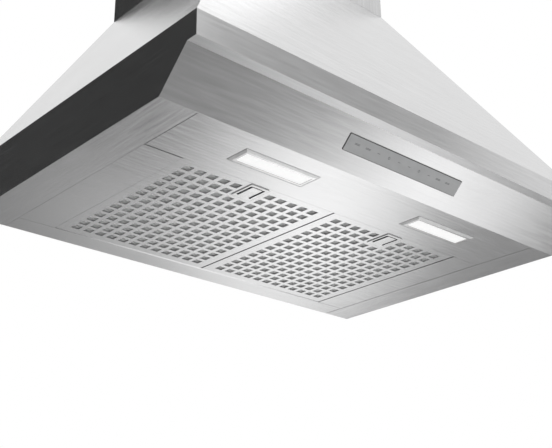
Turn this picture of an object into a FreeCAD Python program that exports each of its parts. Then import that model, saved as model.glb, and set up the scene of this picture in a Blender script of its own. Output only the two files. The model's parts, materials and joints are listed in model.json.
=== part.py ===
import FreeCAD, Part
import Sketcher
import math
import os
import re

# Wall mount range hood: a pyramid canopy with a telescopic chimney, two hinged grease filters,
# a centrifugal blower, a duct collar with damper flaps, two lights and a sloping control strip.
# Millimetres. X to the right, Y towards the wall, Z up. The wall is the plane Y = 0.
# Every piece is drawn with Z = 0 on the underside and then lowered by hang_height, so that the
# origin of the finished object lies midway between the two wall hanging holes.

# Driving sizes: alias, value, what it is
SIZES = [
    ("hang_height", 200, "underside up to the wall hanging holes"),
    ("canopy_width", 762, "overall width"),
    ("fold_depth", 447, "wall to the fold between underside and fascia"),
    ("fascia_run", 48.8, "forward reach of the sloping fascia"),
    ("lip_height", 48.8, "underside up to the level lip"),
    ("lip_depth", 16, "depth of the level lip under the front rim"),
    ("rim_height", 33.6, "height of the upright rim"),
    ("pyramid_height", 333, "rim up to the chimney"),
    ("chimney_width", 330, "lower chimney, outside"),
    ("chimney_depth", 310, "lower chimney, wall to front"),
    ("skin", 1.2, "canopy sheet, measured level"),
    ("side_strip", 55, "width of the strip folded in under each side"),
    ("flange_height", 14, "upturned edges of the underside sheets"),
    ("seam_gap", 0.3, "seam beside the left side strip"),
    ("filler_seam", 1.2, "seam beside the right side strip"),
    ("panel_seam", 0.8, "light panel to both side strips"),
    ("panel_gap", 1.8, "gap between light panel and filter surround, at the left"),
    ("opening_half", 268, "half width of the filter opening"),
    ("panel_depth", 104, "fold back to the filter opening"),
    ("opening_rear", 40, "wall to the rear of the filter opening"),
    ("filter_left_gap", 0.3, "left filter to surround"),
    ("filter_gap", 2.7, "gap between filters and at the right"),
    ("filter_front_gap", 0.3, "filters to light panel"),
    ("filter_rear_gap", 2.3, "filters to rear strip"),
    ("filter_height", 11, "depth of the filter tray"),
    ("cover_sheet", 1.0, "perforated cover sheet"),
    ("hole_side", 13, "side of the square holes"),
    ("hole_pitch", 20, "distance from hole to hole"),
    ("hole_margin", 12.5, "least solid edge beside the holes"),
    ("tab_width", 26, "rear filter tabs"),
    ("tab_reach", 9, "tabs beyond the filter's rear wall"),
    ("tab_spread", 160, "distance between the two tabs of a filter"),
    ("tab_sheet", 1.2, "thickness of the tabs"),
    ("bead_radius", 0.55, "bead under each tab, on which the filter turns"),
    ("bead_forward", 0.5, "bead in front of the rear strip's edge"),
    ("bead_level", 0.6, "middle of the bead above the rear strip"),
    ("rest_gap", 0.3, "clearance where a moving piece rests"),
    ("mesh_gap", 0.3, "mesh pack to its tray"),
    ("mesh_height", 6.6, "mesh pack thickness"),
    ("frame_band", 14, "width of the filter frame"),
    ("frame_sheet", 2.0, "thickness of the filter frame"),
    ("frame_bar", 6, "bars of the filter frame"),
    ("frame_windows", 4, "windows of the filter frame each way"),
    ("latch_window", 33.6, "width of the latch window in the cover"),
    ("latch_length", 44, "length of the latch window in the cover"),
    ("latch_setback", 3.5, "front edge of the filter to the latch window"),
    ("latch_offset", 2.1, "latch to the left of its window's middle"),
    ("latch_width", 30.4, "raised part of the latch plate"),
    ("latch_depth", 42.6, "raised part of the latch plate, front to rear"),
    ("latch_forward", 1.3, "raised part of the latch plate in front of the window"),
    ("latch_proud", 1.2, "latch plate below the cover"),
    ("latch_rim", 2.7, "latch plate beside its opening"),
    ("latch_front_rim", 4.9, "latch plate in front of its opening"),
    ("latch_rest", 0.8, "latch plate behind the finger tab when it is drawn back"),
    ("latch_tab_width", 19.2, "finger tab"),
    ("latch_travel", 5, "travel of the finger tab"),
    ("latch_lap", 1.5, "finger tab over the rear of the latch plate"),
    ("latch_sheet", 0.6, "thickness of the finger tab"),
    ("stem_setback", 4, "front of the finger tab to its stem"),
    ("stem_length", 8, "stem of the finger tab, front to rear"),
    ("spring_hole", 1.5, "hole for the latch spring, radius"),
    ("keeper_lap", 1.2, "keeper of the finger tab beyond the opening"),
    ("keeper_sheet", 0.8, "keeper of the finger tab"),
    ("nose_width", 12, "latch nose and stem"),
    ("nose_level", 5, "underside up to the latch nose"),
    ("nose_height", 1.2, "thickness of the latch nose"),
    ("nose_reach", 0.1, "latch nose beyond the filter's front"),
    ("nose_slot_gap", 0.5, "slot for the nose in the tray wall"),
    ("light_spread", 324, "distance between the two lights"),
    ("light_inset", 52, "fold back to the middle of the lights"),
    ("bezel_length", 127, "light bezel, outside"),
    ("bezel_width", 39, "light bezel, outside"),
    ("bezel_drop", 2.2, "light bezel below the underside"),
    ("bezel_edge", 0.7, "upright edge of the light bezel"),
    ("bezel_slope", 4.5, "width of the bezel's sloping border"),
    ("bezel_depth", 9, "height of the bezel's neck"),
    ("lens_border", 8, "bezel edge to lens"),
    ("lens_sheet", 3, "lens thickness"),
    ("lens_gap", 0.6, "visible joint round the lens"),
    ("lens_joint", 1.2, "depth of the joint round the lens"),
    ("lens_recess", 0.4, "lens above the bezel's lowest face"),
    ("fit_gap", 0.2, "clearance of pieces set into each other"),
    ("board_sheet", 1.6, "circuit boards"),
    ("chip_side", 4, "light emitting chips"),
    ("chip_height", 1.2, "light emitting chips"),
    ("chip_count", 6, "chips on a light board"),
    ("chip_margin", 6, "lens edge to the middle of the first chip"),
    ("control_length", 223, "control strip"),
    ("control_start", 25.4, "fold to the control strip, along the fascia"),
    ("control_width", 24.6, "control strip, along the fascia"),
    ("control_proud", 2.6, "control strip above the fascia"),
    ("control_round", 2, "corners of the control strip"),
    ("module_margin", 6, "control module beyond the strip"),
    ("module_flange", 3, "flange of the control module"),
    ("module_depth", 16, "control module behind the fascia"),
    ("hole_spread", 400, "distance between the wall hanging holes"),
    ("hang_hole", 9, "wall hanging holes, across"),
    ("safety_drop", 90, "hanging holes down to the safety holes"),
    ("safety_hole", 6, "wall safety holes, across"),
    ("scroll_wall_gap", 215, "wall to the blower axis"),
    ("scroll_height", 250, "underside to the blower axis"),
    ("scroll_radius", 106, "least radius of the scroll"),
    ("scroll_step", 12, "growth of the scroll in each quarter turn"),
    ("scroll_width", 156, "scroll, outside, along its axis"),
    ("scroll_sheet", 1.5, "scroll wall"),
    ("scroll_flange", 16, "flange round the scroll's outlet"),
    ("inlet_radius", 74, "air inlets in the scroll's cheeks"),
    ("inlet_lip", 9, "width of the inlet rings"),
    ("inlet_throat", 10, "depth of the inlet rings inside the scroll"),
    ("inlet_sheet", 1.5, "wall of the inlet rings"),
    ("impeller_radius", 94, "impeller"),
    ("impeller_width", 118, "impeller"),
    ("blade_depth", 15, "radial depth of the blades"),
    ("blade_sheet", 1.2, "blade thickness"),
    ("blade_sweep", 7, "forward sweep of the blades at their tips"),
    ("blade_bow", 1.75, "forward sweep of the blades at half their depth"),
    ("blade_seat", 1, "blade tips below the rim of the end rings"),
    ("blade_count", 32, "blades"),
    ("ring_sheet", 3, "end rings of the impeller"),
    ("disc_sheet", 2, "middle disc of the impeller"),
    ("hub_radius", 13, "impeller hub"),
    ("hub_length", 26, "impeller hub"),
    ("shaft_radius", 4, "motor shaft"),
    ("shaft_gap", 0.05, "running clearance of the shafts"),
    ("shaft_grip", 38, "shaft inside the motor"),
    ("motor_radius", 52, "motor"),
    ("motor_length", 74, "motor"),
    ("motor_chamfer", 6.5, "bevel at both ends of the motor"),
    ("motor_nose", 16, "bearing boss of the motor, radius"),
    ("motor_nose_length", 9, "bearing boss of the motor"),
    ("motor_gap", 6, "bearing boss to the impeller hub"),
    ("motor_slot", 7, "width of the air slots in the motor's end"),
    ("motor_slot_depth", 3, "depth of the air slots in the motor's end"),
    ("motor_slot_count", 10, "air slots in the motor's end"),
    ("arm_width", 16, "arms of the motor bracket"),
    ("arm_sheet", 3, "sheet of the motor bracket"),
    ("arm_count", 3, "arms of the motor bracket"),
    ("duct_radius", 74.5, "duct collar, outside"),
    ("collar_height", 62, "duct collar above the top plate"),
    ("collar_wall", 2, "duct collar wall"),
    ("collar_flange", 16, "flange of the duct collar"),
    ("collar_flange_sheet", 2.5, "flange of the duct collar"),
    ("flap_level", 24, "flap axis above the top plate"),
    ("flap_offset", 5, "flap axis to the middle of the collar"),
    ("flap_sheet", 1.2, "flap thickness"),
    ("flap_gap", 1.2, "flap to the collar wall"),
    ("flap_ledge", 3.2, "ledge that stops the flaps, width"),
    ("flap_ledge_height", 2, "ledge that stops the flaps"),
    ("flap_pin", 2, "flap pin radius"),
    ("flap_pin_recess", 0.5, "flap pin ends within the collar wall"),
    ("screw_radius", 2, "screw shanks"),
    ("screw_head", 4, "screw heads, radius"),
    ("screw_head_height", 2.6, "screw heads"),
    ("screw_length", 6, "screw shanks below the head"),
    ("screw_inset", 8, "screws from the flange edge"),
    ("lower_height", 420, "lower chimney"),
    ("upper_height", 460, "upper chimney"),
    ("chimney_sheet", 1.0, "chimney sheet"),
    ("chimney_gap", 0.6, "lower to upper chimney"),
    ("chimney_return", 14, "edges of the chimney folded in at the wall"),
    ("vent_length", 160, "vent slots of the upper chimney"),
    ("vent_height", 4, "vent slots of the upper chimney"),
    ("vent_pitch", 11, "vent slots of the upper chimney"),
    ("vent_count", 6, "vent slots of the upper chimney"),
    ("vent_drop", 60, "top of the chimney to the first vent slot"),
    ("bracket_height", 28, "chimney wall bracket"),
    ("bracket_depth", 24, "chimney wall bracket"),
    ("bracket_sheet", 2, "chimney wall bracket"),
    ("bracket_spread", 200, "holes of the chimney bracket"),
    ("bracket_hole", 5, "holes of the chimney bracket, across"),
    ("box_width", 120, "electronics box"),
    ("box_height", 74, "electronics box"),
    ("box_depth", 42, "electronics box"),
    ("box_margin", 141, "side of the hood to the middle of the electronics box"),
    ("box_level", 40, "underside to the electronics box"),
    ("box_round", 4, "corners of the electronics box"),
    ("lid_depth", 3, "lid of the electronics box"),
    ("lid_overhang", 1.5, "lid beyond the electronics box"),
    ("gland_radius", 11, "cable gland nut, middle to corner"),
    ("gland_cap", 7, "cable gland cap, radius at its top"),
    ("gland_bore", 5, "cable gland bore radius"),
    ("gland_thread", 8, "cable gland thread radius"),
    ("gland_height", 14, "cable gland above the top plate"),
    ("gland_tail", 10, "cable gland below the top plate"),
    ("gland_side", 128, "middle of the hood to the cable gland"),
    ("gland_wall_gap", 60, "wall to the cable gland"),
]
NAMES = {alias for alias, number, note in SIZES}

# Sizes worked out from the driving ones
RIM_TOP = "(lip_height + rim_height)"
CANOPY_TOP = "(lip_height + rim_height + pyramid_height)"
CANOPY_DEPTH = "(fold_depth + fascia_run + lip_depth)"
HALF = "(canopy_width / 2)"
CHIMNEY_HALF = "(chimney_width / 2)"
SEAM = "(canopy_width / 2 - side_strip)"
SLOPE = "sqrt(fascia_run ^ 2 + lip_height ^ 2)"
FASCIA_SKIN = "(skin * " + SLOPE + " / lip_height)"
OPENING_FRONT = "(fold_depth - panel_depth)"
LIGHT_MIDDLE = "(fold_depth - light_inset)"
FILTER_FRONT = "(" + OPENING_FRONT + " - filter_front_gap)"
FILTER_REAR = "(opening_rear + filter_rear_gap)"
FILTER_WIDTH = "((2 * opening_half - filter_left_gap - 2 * filter_gap) / 2)"
FILTER_LENGTH = "(" + FILTER_FRONT + " - " + FILTER_REAR + ")"
LATCH_FRONT = "(" + FILTER_FRONT + " - latch_setback)"
LATCH_REAR = "(" + LATCH_FRONT + " - latch_length)"
RAISED_FRONT = "(" + LATCH_FRONT + " + latch_forward)"
RAISED_REAR = "(" + RAISED_FRONT + " - latch_depth)"
LATCH_OPEN_HALF = "(latch_width / 2 - latch_rim)"
LATCH_OPEN_FRONT = "(" + RAISED_FRONT + " - latch_front_rim)"
LATCH_OPEN_REAR = "(" + RAISED_REAR + " + latch_rest + latch_travel + latch_lap)"
PLATE_BOTTOM = "(" + CANOPY_TOP + " - skin)"
SCROLL_REACH = "(scroll_radius + 3 * scroll_step)"
OUTLET_MIDDLE = "(scroll_wall_gap - " + SCROLL_REACH + " / 2)"
HUB_END = "(hub_length / 2)"
CHIMNEY_INSET = "(chimney_sheet + chimney_gap)"
UPPER_BOTTOM = "(" + CANOPY_TOP + " + rest_gap)"

# Lengths of cuts that go right through the hood, or through one sheet
ALL_THROUGH = "(2 * canopy_width)"
SHEET_THROUGH = "(4 * skin)"

doc = FreeCAD.newDocument("range_hood")
sheet = doc.addObject("Spreadsheet::Sheet", "Sizes")
for row, (alias, number, note) in enumerate(SIZES, start=1):
    sheet.set("A%d" % row, alias)
    sheet.set("B%d" % row, str(number))
    sheet.set("C%d" % row, note)
    sheet.setAlias("B%d" % row, alias)
doc.recompute()

nodes = []


def formula(text):
    """Write the sheet's name before each alias in a formula."""

    def full_name(word):
        return "Sizes." + word.group() if word.group() in NAMES else word.group()

    return re.sub(r"[a-z_]+", full_name, text)


def value(text):
    """The number that a formula gives."""
    return float(sheet.evalExpression(formula(text)))


def bind(piece, name, text):
    piece.setExpression(name, formula(text))


def place(piece, x="0", y="0", z="0"):
    """Set a finished piece in the object's frame and keep it as a node."""
    bind(piece, "Placement.Base.x", x)
    bind(piece, "Placement.Base.y", y)
    bind(piece, "Placement.Base.z", z + " - hang_height")
    nodes.append(piece)
    return piece


def new_body(label):
    return doc.addObject("PartDesign::Body", label)


def new_sketch(body, plane, name, offset="0"):
    """A sketch on one of the body's own planes, moved along the plane's normal by offset."""
    support = next(item for item in body.Origin.OriginFeatures if item.Role == plane)
    sketch = body.newObject("Sketcher::SketchObject", name)
    sketch.AttachmentSupport = [(support, "")]
    sketch.MapMode = "FlatFace"
    bind(sketch, "AttachmentOffset.Base.z", offset)
    return sketch


def pin_point(sketch, edge, point, across, up):
    """Hold one point of an edge at two formulas."""
    for kind, text in (("DistanceX", across), ("DistanceY", up)):
        held = sketch.addConstraint(Sketcher.Constraint(kind, -1, 1, edge, point, value(text)))
        bind(sketch, "Constraints[%d]" % held, text)


def draw_outline(sketch, corners):
    """A closed outline of straight lines whose corners are pairs of formulas."""
    first = sketch.GeometryCount
    ends = [FreeCAD.Vector(value(across), value(up), 0) for across, up in corners]
    count = len(ends)
    for index in range(count):
        sketch.addGeometry(Part.LineSegment(ends[index], ends[(index + 1) % count]), False)
    for index in range(count):
        after = first + (index + 1) % count
        sketch.addConstraint(Sketcher.Constraint("Coincident", first + index, 2, after, 1))
    for index, (across, up) in enumerate(corners):
        pin_point(sketch, first + index, 1, across, up)


def draw_box(sketch, left, right, low, high):
    draw_outline(sketch, [(left, low), (right, low), (right, high), (left, high)])


def draw_circle(sketch, across, up, radius):
    centre = FreeCAD.Vector(value(across), value(up), 0)
    edge = sketch.addGeometry(Part.Circle(centre, FreeCAD.Vector(0, 0, 1), value(radius)), False)
    pin_point(sketch, edge, 3, across, up)
    held = sketch.addConstraint(Sketcher.Constraint("Radius", edge, value(radius)))
    bind(sketch, "Constraints[%d]" % held, radius)


def add_feature(body, kind, sketch, length, side="One side", reverse=False):
    feature = body.newObject("PartDesign::" + kind, kind + "_" + sketch.Name)
    feature.Profile = sketch
    feature.SideType = side
    feature.Reversed = reverse
    bind(feature, "Length", length)
    doc.recompute()
    return feature


def pad(body, sketch, length, side="One side", reverse=False):
    return add_feature(body, "Pad", sketch, length, side, reverse)


def pocket(body, sketch, length):
    """Cut a sketch out of the body, both ways, and make sure that it removed something."""
    before = body.Shape.Volume
    feature = add_feature(body, "Pocket", sketch, length, "Symmetric")
    if body.Shape.Volume >= before:
        raise ValueError(sketch.Name + " cuts nothing")
    return feature


def revolve(body, sketch, axis):
    feature = body.newObject("PartDesign::Revolution", "Revolution_" + sketch.Name)
    feature.Profile = sketch
    feature.ReferenceAxis = (sketch, [axis])
    feature.Angle = 360
    doc.recompute()
    return feature


def pattern(body, feature, axis, length, count, kind="LinearPattern"):
    """Repeat a feature along or round one of the body's own axes."""
    support = next(item for item in body.Origin.OriginFeatures if item.Role == axis)
    repeat = body.newObject("PartDesign::" + kind, kind + "_" + feature.Name)
    repeat.Originals = [feature]
    if kind == "LinearPattern":
        repeat.Direction = (support, [""])
        bind(repeat, "Length", length)
    else:
        repeat.Axis = (support, [""])
        repeat.Angle = 360
    bind(repeat, "Occurrences", count)
    body.Tip = repeat
    doc.recompute()
    return repeat


def grid_pattern(body, feature, length_x, count_x, length_y, count_y):
    """Repeat a feature in rows and columns along X and Y."""
    grid = body.newObject("PartDesign::MultiTransform", "Grid_" + feature.Name)
    steps = []
    for axis, length, count in (("X_Axis", length_x, count_x), ("Y_Axis", length_y, count_y)):
        support = next(item for item in body.Origin.OriginFeatures if item.Role == axis)
        step = body.newObject("PartDesign::LinearPattern", axis + "_" + feature.Name)
        step.Direction = (support, [""])
        bind(step, "Length", length)
        bind(step, "Occurrences", count)
        steps.append(step)
    grid.Originals = [feature]
    grid.Transformations = steps
    body.Tip = grid
    doc.recompute()


def fillet_edges(body, direction, radius):
    """Round the edges that run along a direction."""
    base = body.Tip
    chosen = []
    for number, edge in enumerate(base.Shape.Edges, start=1):
        run = edge.Vertexes[-1].Point - edge.Vertexes[0].Point
        if run.Length > 0 and abs(run.normalize().dot(direction)) > 0.999:
            chosen.append("Edge%d" % number)
    rounding = body.newObject("PartDesign::Fillet", "Fillet_" + body.Name)
    rounding.Base = (base, chosen)
    bind(rounding, "Radius", radius)
    doc.recompute()
    return rounding


def profile_body(label, plane, corners, length, side="One side", offset="0"):
    """A body whose first feature is one outline drawn out to a length."""
    body = new_body(label)
    sketch = new_sketch(body, plane, label + "_profile", offset)
    draw_outline(sketch, corners)
    pad(body, sketch, length, side)
    return body


def plain_solid(label, shape):
    """A piece whose outline comes from a formula and not from a sketch."""
    piece = doc.addObject("Part::Feature", label)
    piece.Shape = shape
    return piece


def fascia_point(along, out):
    """A point of the side view: along the fascia from its fold, and out from its face."""
    back = "-(fold_depth + (fascia_run * ({0}) + lip_height * ({1})) / " + SLOPE + ")"
    up = "((lip_height * ({0}) - fascia_run * ({1})) / " + SLOPE + ")"
    return back.format(along, out), up.format(along, out)


# Side view of the front sheet, outside and inside, from the fold up to the chimney
FRONT_OUTSIDE = [
    ("-fold_depth", "0"),
    ("-(fold_depth + fascia_run)", "lip_height"),
    ("-" + CANOPY_DEPTH, "lip_height"),
    ("-" + CANOPY_DEPTH, RIM_TOP),
    ("-chimney_depth", CANOPY_TOP),
]
INNER_FASCIA = "-(fold_depth - " + FASCIA_SKIN + " + fascia_run * (lip_height + skin) / lip_height)"
FRONT_INSIDE = [
    ("-(fold_depth - " + FASCIA_SKIN + ")", "0"),
    (INNER_FASCIA, "lip_height + skin"),
    ("-(" + CANOPY_DEPTH + " - skin)", "lip_height + skin"),
    ("-(" + CANOPY_DEPTH + " - skin)", RIM_TOP),
    ("-(chimney_depth - skin)", CANOPY_TOP),
]


def make_canopy_front():
    """Fascia, lip, rim and front slope in one folded sheet, with both hips trimmed off."""
    body = profile_body(
        "canopy_front", "YZ_Plane", FRONT_OUTSIDE + FRONT_INSIDE[::-1], "canopy_width", "Symmetric"
    )
    trim = new_sketch(body, "XZ_Plane", "canopy_front_hips")
    for sign in ("-", ""):
        draw_outline(trim, [
            (sign + HALF, RIM_TOP),
            (sign + CHIMNEY_HALF, CANOPY_TOP),
            (sign + HALF, CANOPY_TOP),
        ])
    pocket(body, trim, ALL_THROUGH)
    place(body)


def make_canopy_side(label, sign):
    """Side slope, upright side and the strip folded in below it, behind the front sheet."""
    corners = [
        (SEAM, "0"),
        (HALF, "0"),
        (HALF, RIM_TOP),
        (CHIMNEY_HALF, CANOPY_TOP),
        (CHIMNEY_HALF + " - skin", CANOPY_TOP),
        (HALF + " - skin", RIM_TOP),
        (HALF + " - skin", "skin"),
        (SEAM, "skin"),
    ]
    corners = [(sign + "(" + across + ")", up) for across, up in corners]
    body = profile_body(label, "XZ_Plane", corners, CANOPY_DEPTH)
    edge = new_sketch(body, "XY_Plane", label + "_edge")
    draw_box(edge, sign + SEAM, sign + "(" + SEAM + " + skin)", "-" + CANOPY_DEPTH, "-skin")
    pad(body, edge, "flange_height")
    trim = new_sketch(body, "YZ_Plane", label + "_front")
    beyond = "-(" + CANOPY_DEPTH + " + skin)"
    draw_outline(trim, FRONT_INSIDE + [(beyond, CANOPY_TOP), (beyond, "0")])
    pocket(body, trim, ALL_THROUGH)
    place(body)


def make_canopy_back():
    """Back sheet between the sides, with hanging holes above and safety holes below."""
    lean = "((" + HALF + " - " + CHIMNEY_HALF + ") / pyramid_height)"
    top_half = "(" + CHIMNEY_HALF + " - skin + skin * " + lean + ")"
    side = "(" + HALF + " - skin)"
    corners = [
        ("-" + side, "skin"),
        (side, "skin"),
        (side, RIM_TOP),
        (top_half, PLATE_BOTTOM),
        ("-" + top_half, PLATE_BOTTOM),
        ("-" + side, RIM_TOP),
    ]
    body = profile_body("canopy_back", "XZ_Plane", corners, "skin")
    holes = new_sketch(body, "XZ_Plane", "wall_holes")
    for sign in ("-", ""):
        draw_circle(holes, sign + "hole_spread / 2", "hang_height", "hang_hole / 2")
        draw_circle(holes, sign + "hole_spread / 2", "hang_height - safety_drop", "safety_hole / 2")
    pocket(body, holes, ALL_THROUGH)
    place(body)


def make_canopy_top():
    """Top plate that carries the blower below it and the duct collar above it."""
    body = new_body("canopy_top")
    outline = new_sketch(body, "XY_Plane", "canopy_top_outline", PLATE_BOTTOM)
    side = "(" + CHIMNEY_HALF + " - skin)"
    draw_box(outline, "-" + side, side, "-(chimney_depth - skin)", "0")
    pad(body, outline, "skin")
    holes = new_sketch(body, "XY_Plane", "canopy_top_holes", PLATE_BOTTOM)
    draw_circle(holes, "0", "-" + OUTLET_MIDDLE, "duct_radius - collar_wall")
    draw_circle(holes, "gland_side", "-gland_wall_gap", "gland_thread + fit_gap")
    for across, back in collar_screw_places() + scroll_screw_places():
        draw_circle(holes, across, back, "screw_radius + fit_gap")
    pocket(body, holes, SHEET_THROUGH)
    place(body)


def four_corners(across, back):
    """Four places round the middle of the blower's outlet."""
    return [
        (x_sign + across, "-" + OUTLET_MIDDLE + y_sign + back)
        for x_sign in ("-", "") for y_sign in (" - ", " + ")
    ]


def collar_screw_places():
    reach = "((duct_radius + collar_flange - screw_inset) * sqrt(0.5))"
    return four_corners(reach, reach)


def scroll_screw_places():
    back = "(" + SCROLL_REACH + " / 2 + scroll_flange - screw_inset)"
    return four_corners("(scroll_width / 2 + scroll_flange - screw_inset)", back)


def make_light_panel():
    """Front part of the underside, with an upturned rear edge and two light openings."""
    front = "(fold_depth - " + FASCIA_SKIN + ")"
    half = "(" + SEAM + " - panel_seam)"
    corners = [
        ("-" + front, "0"),
        ("-" + OPENING_FRONT, "0"),
        ("-" + OPENING_FRONT, "flange_height"),
        ("-(" + OPENING_FRONT + " + skin)", "flange_height"),
        ("-(" + OPENING_FRONT + " + skin)", "skin"),
        ("-" + front + " - (skin * fascia_run / lip_height)", "skin"),
    ]
    body = profile_body("light_panel", "YZ_Plane", corners, "2 * " + half, "Symmetric")
    openings = new_sketch(body, "XY_Plane", "light_openings")
    for sign in ("-", ""):
        middle = sign + "light_spread / 2"
        length = "(bezel_length / 2 - lens_border + skin + fit_gap)"
        width = "(bezel_width / 2 - lens_border + skin + fit_gap)"
        draw_box(
            openings, middle + " - " + length, middle + " + " + length,
            "-" + LIGHT_MIDDLE + " - " + width, "-" + LIGHT_MIDDLE + " + " + width,
        )
    pocket(body, openings, SHEET_THROUGH)
    place(body)


def make_filter_surround():
    """Two side fillers and a rear strip in one sheet, open at the front for the filters."""
    left = "-(" + SEAM + " - seam_gap)"
    right = "(" + SEAM + " - filler_seam)"
    left_front = "-(" + OPENING_FRONT + " - panel_gap)"
    right_front = "-(" + OPENING_FRONT + " - seam_gap)"
    body = new_body("filter_surround")
    outline = new_sketch(body, "XY_Plane", "surround_outline")
    draw_outline(outline, [
        (left, left_front),
        ("-opening_half", left_front),
        ("-opening_half", "-opening_rear"),
        ("opening_half", "-opening_rear"),
        ("opening_half", right_front),
        (right, right_front),
        (right, "0"),
        (left, "0"),
    ])
    pad(body, outline, "skin")
    edges = new_sketch(body, "XY_Plane", "surround_edges")
    draw_box(edges, left, left + " + skin", left_front, "-skin")
    draw_box(edges, right + " - skin", right, right_front, "-skin")
    pad(body, edges, "flange_height")
    place(body)


def make_control():
    """The control strip on the fascia and the flanged module behind it."""
    end = "control_start + control_width"
    strip = [
        fascia_point("control_start", "0"),
        fascia_point("control_start", "control_proud"),
        fascia_point(end, "control_proud"),
        fascia_point(end, "0"),
    ]
    body = profile_body("control_strip", "YZ_Plane", strip, "control_length", "Symmetric")
    slope = value(SLOPE)
    outward = FreeCAD.Vector(0, -value("lip_height") / slope, -value("fascia_run") / slope)
    fillet_edges(body, outward, "control_round")
    place(body)
    low = "control_start - module_margin"
    high = end + " + module_margin"
    flange = "-(skin + module_flange)"
    depth = "-(skin + module_depth)"
    module = [
        fascia_point(low, "-skin"),
        fascia_point(high, "-skin"),
        fascia_point(high, flange),
        fascia_point(end, flange),
        fascia_point(end, depth),
        fascia_point("control_start", depth),
        fascia_point("control_start", flange),
        fascia_point(low, flange),
    ]
    body = profile_body("control_module", "YZ_Plane", module, "control_length", "Symmetric")
    place(body)


def make_light(side, sign):
    """A light: bezel with a sloping border and a neck, stepped lens and board with its chips."""
    half_long = "(bezel_length / 2)"
    half_wide = "(bezel_width / 2)"

    def draw_inset(sketch, inset):
        along = "(" + half_long + " - (" + inset + "))"
        across = "(" + half_wide + " - (" + inset + "))"
        draw_box(sketch, "-" + along, along, "-" + across, across)

    middle = sign + "light_spread / 2"
    neck = "(lens_border - skin)"
    bezel = new_body("light_bezel_" + side)
    edge = new_sketch(bezel, "XY_Plane", "bezel_edge_" + side)
    draw_inset(edge, "0")
    pad(bezel, edge, "bezel_edge", reverse=True)
    face = new_sketch(bezel, "XY_Plane", "bezel_face_" + side, "-bezel_edge")
    draw_inset(face, "0")
    border = new_sketch(bezel, "XY_Plane", "bezel_border_" + side, "-bezel_drop")
    draw_inset(border, "bezel_slope")
    loft = bezel.newObject("PartDesign::AdditiveLoft", "bezel_slope_" + side)
    loft.Profile = face
    loft.Sections = [border]
    loft.Ruled = True
    doc.recompute()
    collar = new_sketch(bezel, "XY_Plane", "bezel_neck_" + side)
    draw_inset(collar, neck)
    pad(bezel, collar, "bezel_depth")
    window = new_sketch(bezel, "XY_Plane", "bezel_window_" + side)
    draw_inset(window, "lens_border")
    pocket(bezel, window, "4 * bezel_depth")
    place(bezel, middle, "-" + LIGHT_MIDDLE)
    lens = new_body("light_lens_" + side)
    step = "(lens_recess + lens_joint - bezel_drop)"
    rim = new_sketch(lens, "XY_Plane", "lens_rim_" + side, step)
    draw_inset(rim, "lens_border + fit_gap")
    pad(lens, rim, "lens_sheet - lens_joint")
    pane = new_sketch(lens, "XY_Plane", "lens_pane_" + side, step)
    draw_inset(pane, "lens_border + lens_gap")
    pad(lens, pane, "lens_joint", reverse=True)
    place(lens, middle, "-" + LIGHT_MIDDLE)
    board = new_body("light_board_" + side)
    plate = new_sketch(board, "XY_Plane", "board_plate_" + side, "bezel_depth")
    draw_inset(plate, neck)
    pad(board, plate, "board_sheet")
    chip = new_sketch(board, "XY_Plane", "board_chip_" + side, "bezel_depth")
    span = "(bezel_length - 2 * lens_border - 2 * chip_margin)"
    draw_box(
        chip, "-" + span + " / 2 - chip_side / 2", "-" + span + " / 2 + chip_side / 2",
        "-chip_side / 2", "chip_side / 2",
    )
    first = pad(board, chip, "chip_height", reverse=True)
    pattern(board, first, "X_Axis", span, "chip_count")
    place(board, middle, "-" + LIGHT_MIDDLE)


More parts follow.
